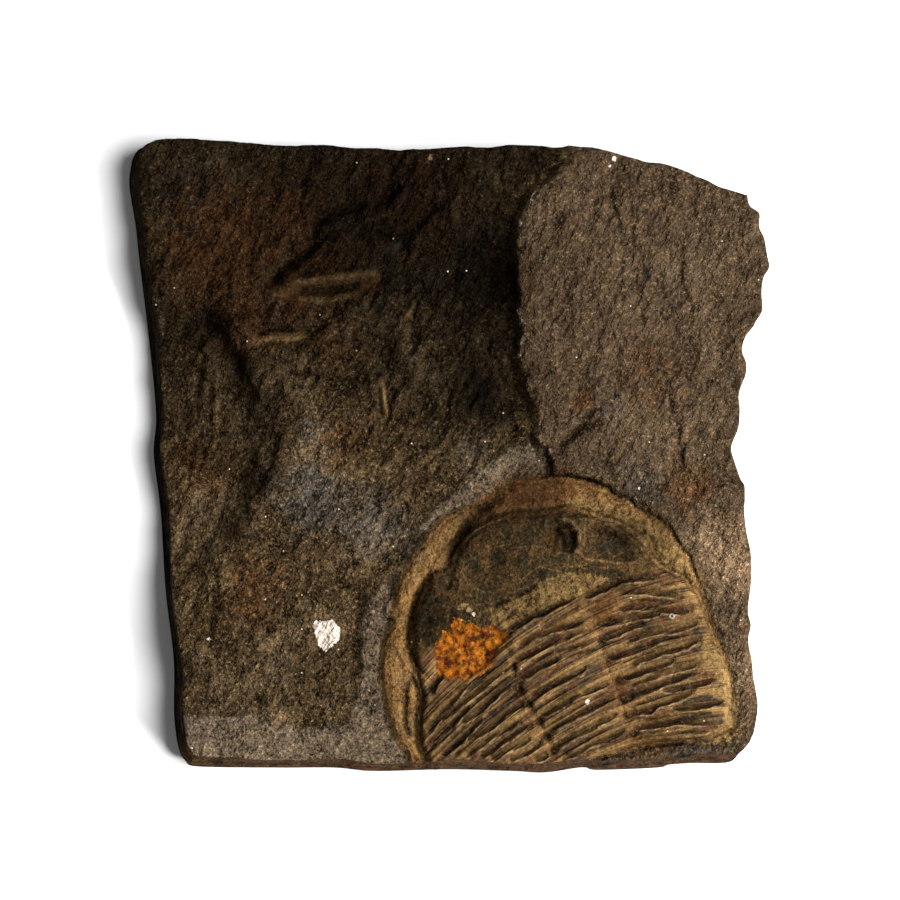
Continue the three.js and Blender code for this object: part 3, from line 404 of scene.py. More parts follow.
# Fine cuts, and crests with a negative depth: path, half width, depth
FINE_GROOVES = [
    # Crests along the ribs
    ([(9.9, -35.6), (12.4, -34.7), (17.5, -32.2), (21.8, -30.4), (24.5, -29.8)], 0.45, -0.3),
    ([
        (9.5, -36.9), (6.6, -38.9), (4.8, -39.8), (3.5, -41.1), (2, -42.6), (0.6, -43.9), (-0.9, -45.2),
        (-2.5, -47.2),
    ], 0.3, -0.22),
    ([
        (8.2, -40.6), (5.7, -41.8), (4.1, -42.9), (2.8, -43.9), (1.4, -45.2), (0.2, -46.6), (-1.4, -48),
    ], 0.3, -0.3),
    ([
        (14, -41.8), (11.6, -42.7), (9.5, -43.7), (8.1, -44.3), (6.6, -45), (5.7, -45.8), (4.9, -46.6),
    ], 0.28, -0.3),
    ([(4.9, -44.2), (3.4, -45.4), (2.2, -46.5), (0.8, -47.8), (-0.4, -48.9)], 0.28, -0.28),
    ([(15, -48.9), (12.5, -49.9), (10, -51), (7.5, -52.4), (5.5, -53.6)], 0.28, -0.22),
    ([(24.2, -43.4), (22.5, -44.6), (20.5, -45.9), (18.7, -47), (16.8, -48.2)], 0.32, -0.3),
    ([
        (28.4, -44.1), (26, -45.4), (23.8, -46.6), (21.7, -47.9), (19.8, -49.2), (17.8, -50.8),
    ], 0.35, -0.3),
    ([(30.4, -47.3), (28, -48.2), (26.3, -49), (24.4, -50.2), (22.5, -51.3), (20.7, -52.2)], 0.45, -0.35),
    ([(31, -39.6), (33, -38.8), (35.2, -38.1), (37, -37.4)], 0.28, -0.25),
    ([(32.5, -37), (35, -36), (37.5, -35.4), (39.8, -34.8)], 0.3, -0.25),
    ([
        (34.8, -41.7), (36.6, -40.9), (38.4, -40.4), (40.6, -39.6), (42.8, -38.9), (44.6, -38),
        (46.2, -37.7), (48, -37.7), (49, -38.8), (49.2, -40.3),
    ], 0.35, -0.3),
    ([(39.3, -43.3), (41.5, -42.6), (43, -42), (44.8, -41.9)], 0.3, -0.25),
    ([(45.5, -29.5), (46.8, -32), (47.8, -34.5), (48.3, -36.4)], 0.5, -0.3),
    ([(49.8, -42.6), (50.3, -45), (50.7, -48.5)], 0.4, -0.3),
    ([(33.2, -31.9), (36, -31.4), (39.5, -31.2)], 0.3, -0.2),
    # Cuts that carry the furrows on between the ribs
    ([(3.4, -40), (5.8, -38.5), (8.6, -37), (10.2, -35.8)], 0.4, 0.4),
    ([(3.8, -43.5), (6.4, -41.8), (9, -39.9), (11.6, -38.3)], 0.4, 0.45),
    ([(6.2, -45.9), (8.6, -44.2), (11, -42.4), (12.6, -41.3)], 0.4, 0.45),
    ([(-4.8, -46.6), (-3.6, -45), (-2, -43.2), (0, -41.4), (2, -39.6)], 0.35, 0.4),
    ([(-5.2, -43.8), (-4, -42), (-2.6, -40.4), (-1.4, -39.2)], 0.35, 0.35),
    ([(-4.4, -53), (-3.2, -51.8), (-1.6, -50.2), (0, -48.8), (1.4, -47.8)], 0.35, 0.4),
    ([(0.6, -53.2), (2, -51.8), (3.6, -50.4), (5, -49.4)], 0.35, 0.45),
    ([(11.6, -34.2), (14, -33), (16.6, -31.8)], 0.35, 0.4),
    ([(12.6, -37.2), (15, -36), (17.4, -34.9), (20, -34), (23, -33.2), (25.6, -32.9)], 0.4, 0.45),
    ([(19.4, -35.8), (22, -34.8), (24.4, -34.2), (26, -33.8)], 0.35, 0.4),
    ([(14.8, -44.6), (18, -42.8), (21.4, -40.8), (24.6, -38.9), (27, -37.6)], 0.35, 0.4),
    ([(16.4, -48), (19.6, -45.9), (23, -44), (26.6, -42), (29, -41.2)], 0.35, 0.4),
    ([(17.6, -50.8), (20.6, -48.7), (24.4, -46.6), (28, -44.6)], 0.35, 0.4),
    ([(18.4, -53.4), (21.4, -51.6), (25, -49.4), (29, -47.4)], 0.35, 0.4),
    ([(32, -33.4), (35, -32.4), (38, -32.2), (41.6, -31.6)], 0.35, 0.4),
    ([(29.6, -36.6), (32, -35.6), (34.6, -34.6), (37, -33.8)], 0.35, 0.4),
    ([(31, -40.8), (34, -39.6), (37.6, -38.8), (41, -37.9)], 0.35, 0.4),
    ([(31.6, -43.9), (34.6, -43.2), (38, -42), (41.6, -40.6)], 0.35, 0.45),
    ([(32, -46.6), (36, -46.1), (40, -45.5), (44, -45.3), (47.6, -45)], 0.4, 0.45),
    ([(32.4, -49.6), (36, -49.2), (40, -48.7), (44, -48.5), (47, -48.6)], 0.4, 0.4),
    ([(30, -26.2), (33, -25.4), (37, -25.6), (41, -26)], 0.35, 0.4),
    ([(31, -23.2), (34, -22.6), (38, -22.4), (41, -22.9)], 0.35, 0.35),
    ([
        (10.2, -33.4), (11.2, -36.6), (12, -39.6), (13.4, -42.6), (15.2, -45.6), (16.8, -48.6),
        (18, -51.6),
    ], 0.35, 0.3),
    ([(26.4, -31.6), (27.2, -35.4), (28.4, -38.8), (29.8, -42), (30.8, -45), (31.8, -48.4)], 0.35, 0.3),
    ([(20.2, -45.4), (21.6, -44.4), (23.9, -43.3)], 0.25, 0.25),
    ([(33.6, -43.3), (35.1, -42.4), (36.8, -41.4)], 0.25, 0.3),
    ([(34.6, -48.7), (36.2, -48.3), (37.7, -47.6)], 0.35, 0.4),
    ([(23.8, -27.3), (24.9, -27), (26.2, -26.4)], 0.35, 0.35),
    # Small marks of the head, the brim and the ring ends
    ([(23.9, -19.4), (26, -19.3), (28.6, -19)], 0.3, 0.25),
    ([(36, -23.2), (38, -22.3), (40, -21.4), (41, -20.9)], 0.3, 0.25),
    ([(36.2, -21.3), (37, -20.8), (37.3, -20)], 0.25, 0.25),
    ([(-2.3, -20), (-3.4, -21.5), (-4.9, -23.5), (-5.9, -25.8), (-6.6, -28), (-7.3, -31.2)], 0.6, 0.5),
    ([(-7.3, -31), (-7.4, -33), (-6.4, -35.4), (-5, -37.6), (-3.6, -38.6)], 0.5, 0.4),
    ([(3, -8.4), (0.5, -9.6), (-1.8, -10.9), (-3.4, -12.4), (-6.2, -16.2), (-8.6, -20.8)], 0.3, 0.3),
    ([(-9.4, -24.2), (-10.2, -27.5), (-11.3, -31.3), (-12, -36.5), (-12.1, -40)], 0.3, 0.3),
    ([
        (9.4, -6.8), (7.2, -8.4), (5, -10.4), (3.4, -12), (2.2, -13.8), (1.2, -15.8), (0.2, -17.9),
    ], 1.1, 0.8),
    ([(-27.4, 28.6), (-21, 28.8), (-15.6, 29.6)], 0.9, 0.8),
    ([(-29.6, 29.6), (-22, 30.6), (-15, 31.6), (-12.2, 31)], 0.7, -0.45),
    ([(-28, 27.5), (-21, 27), (-15.8, 28.2)], 0.6, -0.45),
    ([
        (10.1, -10.4), (7.9, -11.3), (5.7, -12.4), (3.8, -13.9), (2.6, -15.4), (1.3, -16.6),
        (0.8, -18.8),
    ], 0.25, -0.3),
    ([(20.6, -8.9), (24.5, -9.4), (28.5, -10.8), (32, -12.3), (34.2, -14.6), (35.6, -17)], 0.35, -0.3),
    ([(20.4, -10.3), (24.5, -10.9), (28.5, -12.3), (31.5, -13.9), (33.4, -16.2)], 0.35, 0.3),
    ([(13.3, -26.9), (14.1, -25.7)], 0.3, 0.3),
    ([(10.6, -36.2), (10.6, -38.4)], 0.35, -0.3),
    ([(12.0, -39.4), (12.1, -41.6)], 0.35, -0.25),
    ([(13.4, -43.0), (13.5, -45.5)], 0.4, -0.35),
    ([(15.1, -46.2), (15.1, -48.6)], 0.35, -0.3),
    ([(16.7, -49), (16.8, -51)], 0.35, -0.3),
    ([(10.4, -11.2), (10.8, -12.7), (11.3, -13.9)], 0.25, 0.2),
    ([(4, -22), (6.5, -20), (8.6, -17.8), (10.5, -17.2)], 0.3, -0.16),
    ([(11.5, -19.8), (14, -18.6), (16.4, -19.6), (17.4, -21)], 0.3, -0.16),
    ([(2.4, -18.4), (4.3, -18.9), (6.3, -19)], 0.25, -0.12),
    ([(-0.6, -20.6), (0.8, -19.6), (0.7, -18), (1.5, -16.6)], 0.3, -0.25),
    ([(21, -19.4), (23.5, -19.5), (26.8, -19.2)], 0.4, 0.25),
    ([
        (18.6, -11.7), (20.4, -11.2), (22.2, -12.4), (22.9, -14.4), (22.4, -16.4), (21.4, -17.6),
    ], 0.45, -0.5),
    ([(18.6, -13.4), (19.8, -13.9), (20, -15.4), (20.4, -17)], 0.5, 0.5),
    ([(26.6, -13.2), (26, -14.6), (25.2, -15.8)], 0.35, 0.25),
    ([(22.6, -18.2), (26, -18.4), (30.6, -19), (34, -18.2)], 0.5, -0.4),
    ([(21.6, -10.6), (25.6, -11.4), (29.8, -13), (33, -15.6), (34.8, -18)], 0.4, -0.4),
    ([(24.6, -12.6), (28.4, -13.9), (31.4, -16)], 0.6, 0.4),
    ([(1.2, -18.2), (1.6, -16.6), (3.2, -14.6), (5.4, -12.8), (8.4, -11.5), (11.4, -11)], 0.3, -0.35),
    ([(-0.4, -20.6), (1.4, -21.2), (2, -23), (1.2, -24.6)], 0.35, -0.3),
    # Marks of the broken stone
    ([(-25.8, 48.5), (-25.4, 46), (-26, 43.5), (-25.8, 41.5)], 0.35, 0.7),
    ([(-12.6, 39.8), (-12.2, 38.2), (-11.4, 37.2)], 0.5, 0.7),
    ([(-6.4, 50), (-7.6, 47.6), (-10, 45.4), (-11.2, 43)], 0.5, 0.7),
    ([(0.4, 43.8), (-2.6, 42.6), (-4.4, 40.6), (-6, 38.8)], 0.45, 0.6),
    ([(-20.6, 39.8), (-22.8, 36.8), (-26, 34.4), (-29.6, 31.8), (-31, 28.6)], 0.7, 0.8),
    ([(-16, 40.4), (-12.4, 41.6), (-8.4, 42.6)], 0.5, -0.4),
    ([(-20.4, 23.6), (-18.6, 25.6), (-17.2, 28)], 0.45, 0.6),
    ([(-12, 29.2), (-9, 28.6), (-6.2, 29)], 0.35, 0.5),
    ([(-7.6, 23.8), (-6.9, 25), (-5.9, 26.3)], 0.4, -0.7),
    ([(-34.6, 19.4), (-31, 20.4), (-27.6, 20.2), (-24.2, 20.4)], 0.45, -0.6),
    ([(-34, 20.8), (-30.4, 21.8), (-25.8, 21.6)], 0.4, 0.5),
    ([(-11.6, 12.3), (-11.2, 9.4), (-10.8, 6.3)], 0.35, -0.5),
    ([(-12.2, 12.4), (-11.9, 9.4), (-11.6, 6.6)], 0.3, 0.4),
    ([(-30, 14.2), (-24.2, 13.8), (-18, 12.9), (-11.8, 13.2)], 0.4, 0.45),
    ([(9.4, 20.2), (7.6, 19.8), (7, 18.4), (7.8, 17), (9.3, 16.8)], 0.4, 0.6),
    ([(10, 26.8), (9.2, 25.4)], 0.35, -0.5),
    ([(-43.3, 25.8), (-39.6, 23.6), (-36.8, 21.4), (-35.6, 17.6)], 0.4, 0.5),
    ([(-41, 14), (-40.6, 6), (-42, -2)], 0.7, -0.4),
    ([(27.4, 8.6), (24.6, 6.8), (22, 3.6), (20.4, 1.6)], 0.6, 0.7),
    ([(33.2, 26), (32.8, 31), (33.6, 35.6)], 0.35, 0.3),
    ([(29, 11.3), (30.2, 12.8)], 0.35, 0.3),
    ([(30.2, 3.4), (32.8, 4.5)], 0.35, 0.3),
    ([(-28.4, -33.4), (-28.2, -31.6), (-26.6, -30.4)], 0.4, 0.35),
    ([(-27.4, -36.3), (-25.6, -36.6)], 0.4, -0.2),
]

# Heights and sizes of the fine relief, in millimetres
STONE_SWELL = 0.42
SWELL_SIZE = 7.0
FLAKE_STEP = 0.55
FLAKE_SIZE = 9.0
RIPPLE_HEIGHT = 0.38
RIPPLE_SIZE = 1.7
RIPPLE_BEARING = 55
UPRIGHT_SIZE = 1.5
UPRIGHT_BEARING = 78
STONE_GRAIN = 0.22
GRAIN_SIZE = 1.2
LEDGE_GRAIN = 0.05
LEDGE_GRAIN_SIZE = 1.6
FOSSIL_GRAIN = 0.07
BRIM_GRAIN = 0.1
FOSSIL_GRAIN_SIZE = 1.1
RUST_CRUMB = 0.5
RUST_CRUMB_SIZE = 1.2
BACK_BAND_CRUMB = 0.36
BACK_BAND_CRUMB_SIZE = 1.3
RIM_WEAR = 0.3
RIM_WEAR_SIZE = 8.0
RIM_WEAR_REACH = 1.2
RIM_REACH = 6
RIM_CALM = (0, 1.5)
CHIP_SIZE = 5.0
TERRACE_LINE_DEPTH = 0.07
TERRACE_LINE_PITCH = 0.75

# Stained areas, and those of golden crumbs: the rust and the crumbs also stand out a little
RUST_PATCH = [
    (1.2, -28.8), (3, -29.2), (4.5, -30), (6.2, -30.4), (8, -30.2), (10, -31.2), (10.4, -32.2),
    (9, -33.4), (8.2, -34.6), (7.6, -35.6), (7, -37), (5.6, -38.2), (3.5, -38.9), (1.5, -38.8), (0, -39),
    (-1.4, -38.6), (-2, -36.8), (-2.5, -35), (-2.3, -33.2), (-0.8, -32), (-0.8, -31.2), (0.8, -30.5),
]
HEAD_BACK_BAND = [
    (7.2, -28.6), (8.6, -26.4), (11.4, -24.8), (14, -24), (15.6, -22.4), (18, -21.4), (21, -20.6),
    (24.5, -20.8), (28, -21.6), (27, -22.6), (23.4, -24.4), (19.5, -25.4), (16.6, -26.8), (13.4, -28.2),
    (10.4, -30.4), (8.4, -30.8),
]
CHALK_PATCH = [
    (-23.8, -29.5), (-22.8, -29), (-21.8, -29.2), (-20.3, -29), (-19.2, -30), (-18.8, -31.2),
    (-19.3, -32.6), (-20.5, -33.5), (-21.3, -34.4), (-22.4, -33.6), (-23, -32.4), (-23.3, -31),
]
THORAX_MARGIN = [
    (44.6, -32.6), (46.6, -33.4), (48.4, -36.4), (49.4, -40), (50.2, -44), (50.8, -48), (49.4, -50),
    (45, -50.8), (45.6, -49), (48, -47), (48.2, -43.4), (45.4, -41.6), (47, -39.4), (46.4, -37.4),
    (43, -37),
]
BRIM_CRUMBS = [
    (20, -7.4), (27, -8), (33, -10.6), (38, -13), (41.6, -18), (43.4, -22), (40, -21.4), (36.6, -19),
    (34, -15.2), (30, -12), (25, -9.8), (20, -9.2),
]
CRUMB_AREAS = [HEAD_BACK_BAND, THORAX_MARGIN, BRIM_CRUMBS]

# Small smooth marks on the broken stone, which are tan and have little grain
SPINDLE = [
    (-31, 29.2), (-27, 30.6), (-22, 31.4), (-17, 32.3), (-12.4, 32.2), (-11.8, 30.6), (-13.6, 28.8),
    (-17, 27.6), (-22, 26.6), (-27, 26.6), (-30.4, 27.4),
]
PALE_LEDGE = [
    (-35, 18.6), (-31, 19.6), (-27.6, 19.4), (-23.8, 19.9), (-24, 21), (-29, 21.4), (-34, 20.6),
]
UPRIGHT_MARK = [(-12, 13), (-10.8, 12.8), (-10.2, 6), (-11.4, 5.8)]
SMALL_KNOB = [(-8.2, 23), (-6.6, 23.8), (-5.2, 26.6), (-6, 27), (-7.4, 25.2)]
CORNER_KNOB = [(-12.4, 38.6), (-10.4, 38.4), (-8, 36.8), (-8.4, 35.4), (-10.6, 35.2), (-12, 36.6)]
SMOOTH_MARKS = [SPINDLE, PALE_LEDGE, UPRIGHT_MARK, SMALL_KNOB, CORNER_KNOB]

# Pale specks: place and radius
CHALK_SPECKS = [
    ((29, 52), 0.4), ((28.2, 50.6), 0.3), ((33.3, -5.6), 0.45), ((24.3, -42.8), 0.45), ((4.5, -27.6), 0.3),
    ((-42, -32), 0.35),
]
TAN_SPECKS = [((-3.2, 52.4), 0.8), ((2.7, -26.2), 0.7), ((3.5, -26.8), 0.6)]
RING_PIT = ((39.1, -28), 0.38)

# Broad areas stained reddish brown, and bluish grey ones: place, radius, strength
RED_PATCHES = [
    ((-40, 36), 11, 0.95),
    ((-28, 42), 10, 0.6),
    ((-22, 34), 9, 0.6),
    ((-36, 24), 8, 0.6),
    ((-8, 44), 12, 0.55),
    ((-44, -2), 8, 0.35),
    ((-18, 2), 8, 0.3),
    ((8, 30), 9, 0.35),
    ((-27, 27), 4, 0.8),
    ((-13.8, 29.9), 1.5, 1.6),
    ((-20, 20), 7, 0.4),
    ((12, -7), 4.5, 0.8),
    ((19, -6.5), 4.5, 0.7),
    ((6, -9.5), 3.5, 0.6),
    ((27, -27), 5, 0.7),
    ((20, -31), 4, 0.4),
    ((30, -41), 4, 0.5),
    ((42, -6), 5, 0.5),
    ((36, 14), 10, 0.3),
    ((17.5, -15.5), 3, 0.4),
    ((-34, -24), 8, 0.4),
    ((23.5, 9.5), 2, 0.7),
    ((34, -48), 6, 0.5),
]
BLUE_PATCHES = [
    ((-9.6, 36.4), 1.6, 1.0),
    ((-30, -4), 5, 0.5),
    ((-6, -16), 5, 0.5),
    ((-46, 44), 9, 0.35),
    ((-24, -7), 8, 0.75),
    ((-24, 4), 4, 0.5),
    ((-14, -12), 8, 0.6),
    ((4, 1), 6, 0.4),
    ((28, 8), 4, 0.4),
    ((33, -5), 6, 0.5),
    ((28, -14.5), 5, 0.4),
    ((8, -18), 6, 0.2),
    ((44, -52), 5, 0.6),
    ((-5, -47), 3, 0.6),
    ((10, -31), 3, 0.5),
    ((38, 30), 9, 0.25),
    ((-40, -48), 10, 0.25),
    ((-30, -38), 6, 0.25),
]

# Broad areas that are darker than the rest, or paler with a positive change: place, radius, change
# They are partly the stone's own tone and partly painted shade, standing in for slopes and shadows
TONE_AND_PAINTED_SHADE_PATCHES = [
    ((-12, 42), 14, -0.22),
    ((9, 30), 9, -0.31),
    ((-46, 44), 13, 0.1),
    ((6, 10), 8, -0.58),
    ((-12, 9), 8, -0.14),
    ((-43, 4), 10, -0.26),
    ((-38, -14), 6, -0.12),
    ((-22, -14), 13, 0.1),
    ((-34, -34), 10, -0.08),
    ((50, -18), 7, 1.0),
    ((53, -38), 7, 0.62),
    ((40, -38), 8, -0.08),
    # Painted shadow in the wide groove inside the brim's upper left
    ((3, -12.6), 2.4, -0.5),
    ((0.6, -16.6), 2, -0.55),
    ((7, -9.8), 2.4, -0.4),
    ((20.6, -15), 1.8, -0.5),
    ((31, -15), 4, -0.36),
    ((38, -12), 5, -0.12),
    ((46, -14), 4, 0.2),
    # Painted shade along the dark valley beside the spalled facet
    ((-41, 22.5), 2.6, -0.3),
    ((-36.5, 16), 2.8, -0.3),
    ((-32, 9), 2.6, -0.3),
    ((-30.8, 3), 2.6, -0.35),
    ((-33, -5), 3, -0.35),
    ((-36, -11), 3, -0.3),
    ((-40, 8), 4, 0.12),
    ((-24, 2), 5, 0.14),
    ((-20, 9), 5, 0.14),
    ((-4, -30), 4, -0.33),
    ((45, 28), 10, 0.1),
    ((38, 2), 10, 0.14),
    ((-30, -51), 12, 0.12),
    ((15, -7.5), 6, -0.48),
    ((10, -18), 8, -0.28),
    ((28, -15), 5, -0.15),
    ((7, -1), 5, 0.2),
    ((-1, -27), 5, -0.3),
    ((38, -14), 4, -0.1),
    ((20, -40), 8, 0.04),
    ((2, -48), 7, -0.16),
]
# The back of the stone is darker: partly its own colour, partly painted shade of slopes turned from the
# lamps
BACK_PAINTED_SHADE = -0.57
BACK_PAINTED_SHADE_SPAN = (-8, 34)
TONE_AND_SHADE_POWER = 1.6

# How far the broken edges wander from their smooth paths: distance, size and seed of the wander
BREAK_WANDER = (0.75, 4.5, 101)
RIB_WANDER = (0.16, 1.8, 131)
STEP_WANDER = (0.5, 3.0, 151)

# How far from a line or an edge its distance is noted: in half widths for lines, in millimetres else
LINE_REACH = 3.0
STEP_REACH = 5
FURROW_REACH = 2.0
INWARD_REACH = 8.0
PLATEAU_REACH = 12
LEDGE_REACH = 6
PATCH_REACH = 4

# How much the colour of a shallow line fades, and the share of a line that thins out at each end
FAINTNESS = 3.0
LINE_THINNING = 0.17

# Where the plateau's scarp and its chipped edge lie, measured inwards, and where they end
# The scarp lies in shadow, which painted light lifts
SCARP_APPROACH = (-9, -0.3)
SCARP_FOOT = (-3.2, -1.6)
SCARP_TOP = (0.5, -0.4)
SCARP_FRONT_END = (-2, 8)
CHIPS_OUTER = (-1.3, -0.3)
CHIPS_INNER = (1.2, 0.2)
CHIPS_RIGHT_END = (26, 20)

# Where the near side starts, which is rusty, while the other sides are painted near black as shade
FRONT_SIDE_START = (-49, -52)

# Where the head ends and the thorax's colours start, on a slant
THORAX_START = (-25, -28)
THORAX_MIDDLE = 18
THORAX_SKEW = 0.36


def smooth(span, value):
    """0 up to the first value, 1 from the second on, and smooth between them."""
    share = np.clip((value - span[0]) / (span[1] - span[0]), 0, 1)
    return share * share * (3 - 2 * share)


def curved(points, steps_per_point=CURVE_STEPS_PER_POINT):
    """A smooth curve through the points, cut into short straight runs."""
    knots = np.array([points[0], *points, points[-1]], float)
    share = np.arange(steps_per_point)[:, None] / steps_per_point
    runs = []
    for index in range(len(points) - 1):
        before, start, end, after = knots[index:index + 4]
        leave = (end - before) / 2
        arrive = (after - start) / 2
        runs.append(
            (2 * start - 2 * end + leave + arrive) * share ** 3
            + (3 * end - 3 * start - 2 * leave - arrive) * share ** 2
            + leave * share
            + start
        )
    runs.append(np.array([points[-1]], float))
    return np.concatenate(runs)


def along_curve(points, share):
    """Places on a smooth curve at even shares of its length."""
    line = curved(points, SMOOTH_STEPS_PER_POINT)
    length = np.concatenate([[0], np.cumsum(np.hypot(*np.diff(line, axis=0).T))])
    target = share * length[-1]
    return np.interp(target, length, line[:, 0]), np.interp(target, length, line[:, 1])


def nearest(path, x, y, reach=np.inf):
    """Distance to an open path, the side of it and the share of the way along, for many places."""
    distance = np.full(x.shape, np.inf)
    side = np.ones(x.shape)
    along = np.zeros(x.shape)
    runs = len(path) - 1
    for index in range(runs):
        ax, ay = path[index]
        bx, by = path[index + 1]
        if ax == bx and ay == by:
            continue
        close = (x > min(ax, bx) - reach) & (x < max(ax, bx) + reach)
        close &= (y > min(ay, by) - reach) & (y < max(ay, by) + reach)
        near = np.flatnonzero(close)
        if near.size == 0:
            continue
        dx = bx - ax
        dy = by - ay
        rx = x[near] - ax
        ry = y[near] - ay
        share = np.clip((rx * dx + ry * dy) / (dx * dx + dy * dy), 0, 1)
        gap = np.hypot(rx - share * dx, ry - share * dy)
        better = gap < distance[near]
        kept = near[better]
        distance[kept] = gap[better]
        side[kept] = np.where(dx * ry - dy * rx < 0, -1, 1)[better]
        along[kept] = ((index + share) / runs)[better]
    return distance, side, along


def depth_inside(outline, x, y, reach=np.inf):
    """Distance to a closed outline, positive inside it, and no more than the reach."""
    inside = np.zeros(x.shape, bool)
    ring = [*outline, outline[0]]
    for (bx, by), (ax, ay) in zip(ring, ring[1:]):
        if ay == by:
            continue
        crossing = (ay > y) != (by > y)
        inside ^= crossing & (x < (bx - ax) * (y - ay) / (by - ay) + ax)
    distance = np.minimum(nearest(ring, x, y, reach)[0], reach)
    return np.where(inside, distance, -distance)


def end_taper(along):
    """Fades a line feature out over the first and last part of its path."""
    return smooth(END_FADE, along) * smooth(END_FADE, 1 - along)


def long_taper(along):
    """Thins a line out over the first and last sixth of its path."""
    return smooth((0, LINE_THINNING), along) * smooth((0, LINE_THINNING), 1 - along)


def bump(x, y, place, radius):
    """A round bump of height 1 about a place."""
    return np.exp(-((x - place[0]) ** 2 + (y - place[1]) ** 2) / radius ** 2)


def swirl(x, y, size, seed, turn=0.0, stretch=1.0):
    """Smooth random heights from -1 to 1 with swells of a given size, drawn out along a direction."""
    cosine = math.cos(math.radians(turn))
    sine = math.sin(math.radians(turn))
    u = (x * cosine + y * sine) / (size * stretch) + 1000.0
    v = (y * cosine - x * sine) / size + 1000.0
    angles = np.random.default_rng(seed).uniform(0, 2 * math.pi, (256, 256))
    column = np.floor(u).astype(int)
    row = np.floor(v).astype(int)
    fu = u - column
    fv = v - row
    corners = []
    for step_row in (0, 1):
        for step_column in (0, 1):
            angle = angles[(row + step_row) % 256, (column + step_column) % 256]
            corners.append(np.cos(angle) * (fu - step_column) + np.sin(angle) * (fv - step_row))
    wu = fu * fu * fu * (fu * (fu * 6 - 15) + 10)
    wv = fv * fv * fv * (fv * (fv * 6 - 15) + 10)
    low = corners[0] + (corners[1] - corners[0]) * wu
    high = corners[2] + (corners[3] - corners[2]) * wu
    return 1.5 * (low + (high - low) * wv)


def rugged(x, y, size, seed, octaves=3, gain=0.5, turn=0.0, stretch=1.0):
    """Swirls of a size, with finer ones laid over them."""
    total = np.zeros(x.shape)
    for octave in range(octaves):
        total += gain ** octave * swirl(x, y, size / 2 ** octave, seed + octave, turn, stretch)
    return total


def swell(x, y):
    """Long, low swells of broken shale."""
    long = 0.22 * np.sin(0.31 * x + 0.12 * y + 0.5) * np.sin(0.27 * y - 0.09 * x + 1.1)
    middle = 0.16 * np.sin(0.62 * x - 0.41 * y + 2.0) * np.sin(0.33 * x + 0.58 * y + 0.3)
    short = 0.1 * np.sin(1.15 * x + 0.7 * y + 4.0) * np.sin(0.9 * y - 0.75 * x + 2.6)
    return long + middle + short


def furrow_depth(x, y):
    """Ribs of the thorax: each falls gently to the furrow below it, whose other wall is steep."""
    depth = np.zeros(x.shape)
    x, y = wander(x, y, RIB_WANDER)
    groups = (
        (LEFT_FURROWS, LEFT_FURROW_DEPTH),
        (AXIS_FURROWS, AXIS_FURROW_DEPTH),
        (RIGHT_FURROWS, RIGHT_FURROW_DEPTH),
    )
    for furrows, full_depth in groups:
        for points in furrows:
            distance, side, along = nearest(curved(points), x, y, FURROW_GENTLE_WIDTH)
            width = np.where(side > 0, FURROW_GENTLE_WIDTH, FURROW_STEEP_WIDTH)
            share = 1 - np.minimum(distance / width, 1)
            depth = np.maximum(depth, full_depth * share ** FURROW_SHARPNESS * end_taper(along))
    return depth


def axis_arch(x, y):
    """The arch of the axis, which starts behind the head and is cut into rings by the furrows."""
    left, left_side, _ = nearest(curved(AXIS_LEFT), x, y)
    right, right_side, _ = nearest(curved(AXIS_RIGHT), x, y)
    share = left / (left + right)
    start = smooth((AXIS_START, AXIS_START - AXIS_RUN_IN), y - AXIS_SKEW * x)
    within = (left_side > 0) & (right_side < 0)
    return np.where(within, AXIS_RISE * np.sin(np.pi * share) ** AXIS_ROUNDNESS * start, 0)


def stone_height(x, y, areas):
    """The broken stone: a middle surface, the spalled facet, two smooth ledges and the plateau."""
    z = MIDDLE_LEVEL + MIDDLE_TILT * x - BACK_SAG * smooth(BACK_SAG_SPAN, y)
    z -= SPALL_DROP * smooth(SPALL_SCARP, areas["spall"]) + SPALL_TILT * np.maximum(areas["spall"], 0)
    z += FRONT_LEDGE_RISE * smooth(LEDGE_SCARP, areas["front_ledge"])
    z += CORNER_LEDGE_RISE * smooth(LEDGE_SCARP, areas["corner_ledge"])
    tilt = PLATEAU_TILT * np.maximum(x - PLATEAU_START, 0)
    fall = RIGHT_MARGIN_FALL * smooth(RIGHT_MARGIN_SLOPE, -y)
    plateau = smooth(PLATEAU_SCARP, areas["plateau"])
    return z + (PLATEAU_LEVEL - tilt - fall - z) * plateau


def fossil_relief(x, y, areas, ground):
    """The trilobite: a brim, a border furrow, the domed body and the arched, ringed axis."""
    shield = smooth(SHIELD_EDGE, areas["shield"])
    body = areas["body"]
    z = ground + (SHIELD_LEVEL - ground) * shield + BRIM_RISE * shield
    furrow = np.maximum(1 - np.abs(2 * body / BORDER_FURROW_WIDTH + 1), 0)
    z -= BORDER_FURROW_DEPTH * furrow * shield
    z += BODY_RISE * smooth(BODY_EDGE, body)
    z += BODY_DOME * (1 - np.exp(-np.maximum(body, 0) / BODY_DOME_REACH))
    z += axis_arch(x, y)
    z -= furrow_depth(x, y)
    for pit in AXIS_PITS:
        z -= AXIS_PIT_DEPTH * bump(x, y, pit, AXIS_PIT_RADIUS)
    return z


def step_relief(x, y, steps):
    """Broken steps of the bedding: the left of each path stands higher, and both sides die away."""
    z = np.zeros(x.shape)
    x, y = wander(x, y, STEP_WANDER)
    for points, height, fade in steps:
        distance, side, along = nearest(curved(points), x, y, 5 * fade)
        distance = np.minimum(distance, 5 * fade)
        rise = 0.5 * height * np.tanh(side * distance / STEP_FOOT)
        z += rise * np.exp(-distance / fade) * end_taper(along)
    return z


def grooves_bumps_and_steps(x, y):
    """Single lines, bosses, pits and broken steps of the face."""
    z = step_relief(x, y, BEDDING_STEPS) + line_relief(x, y, GROOVES)
    for place, radius, height in BOSSES:
        z += height * bump(x, y, place, radius)
    return z


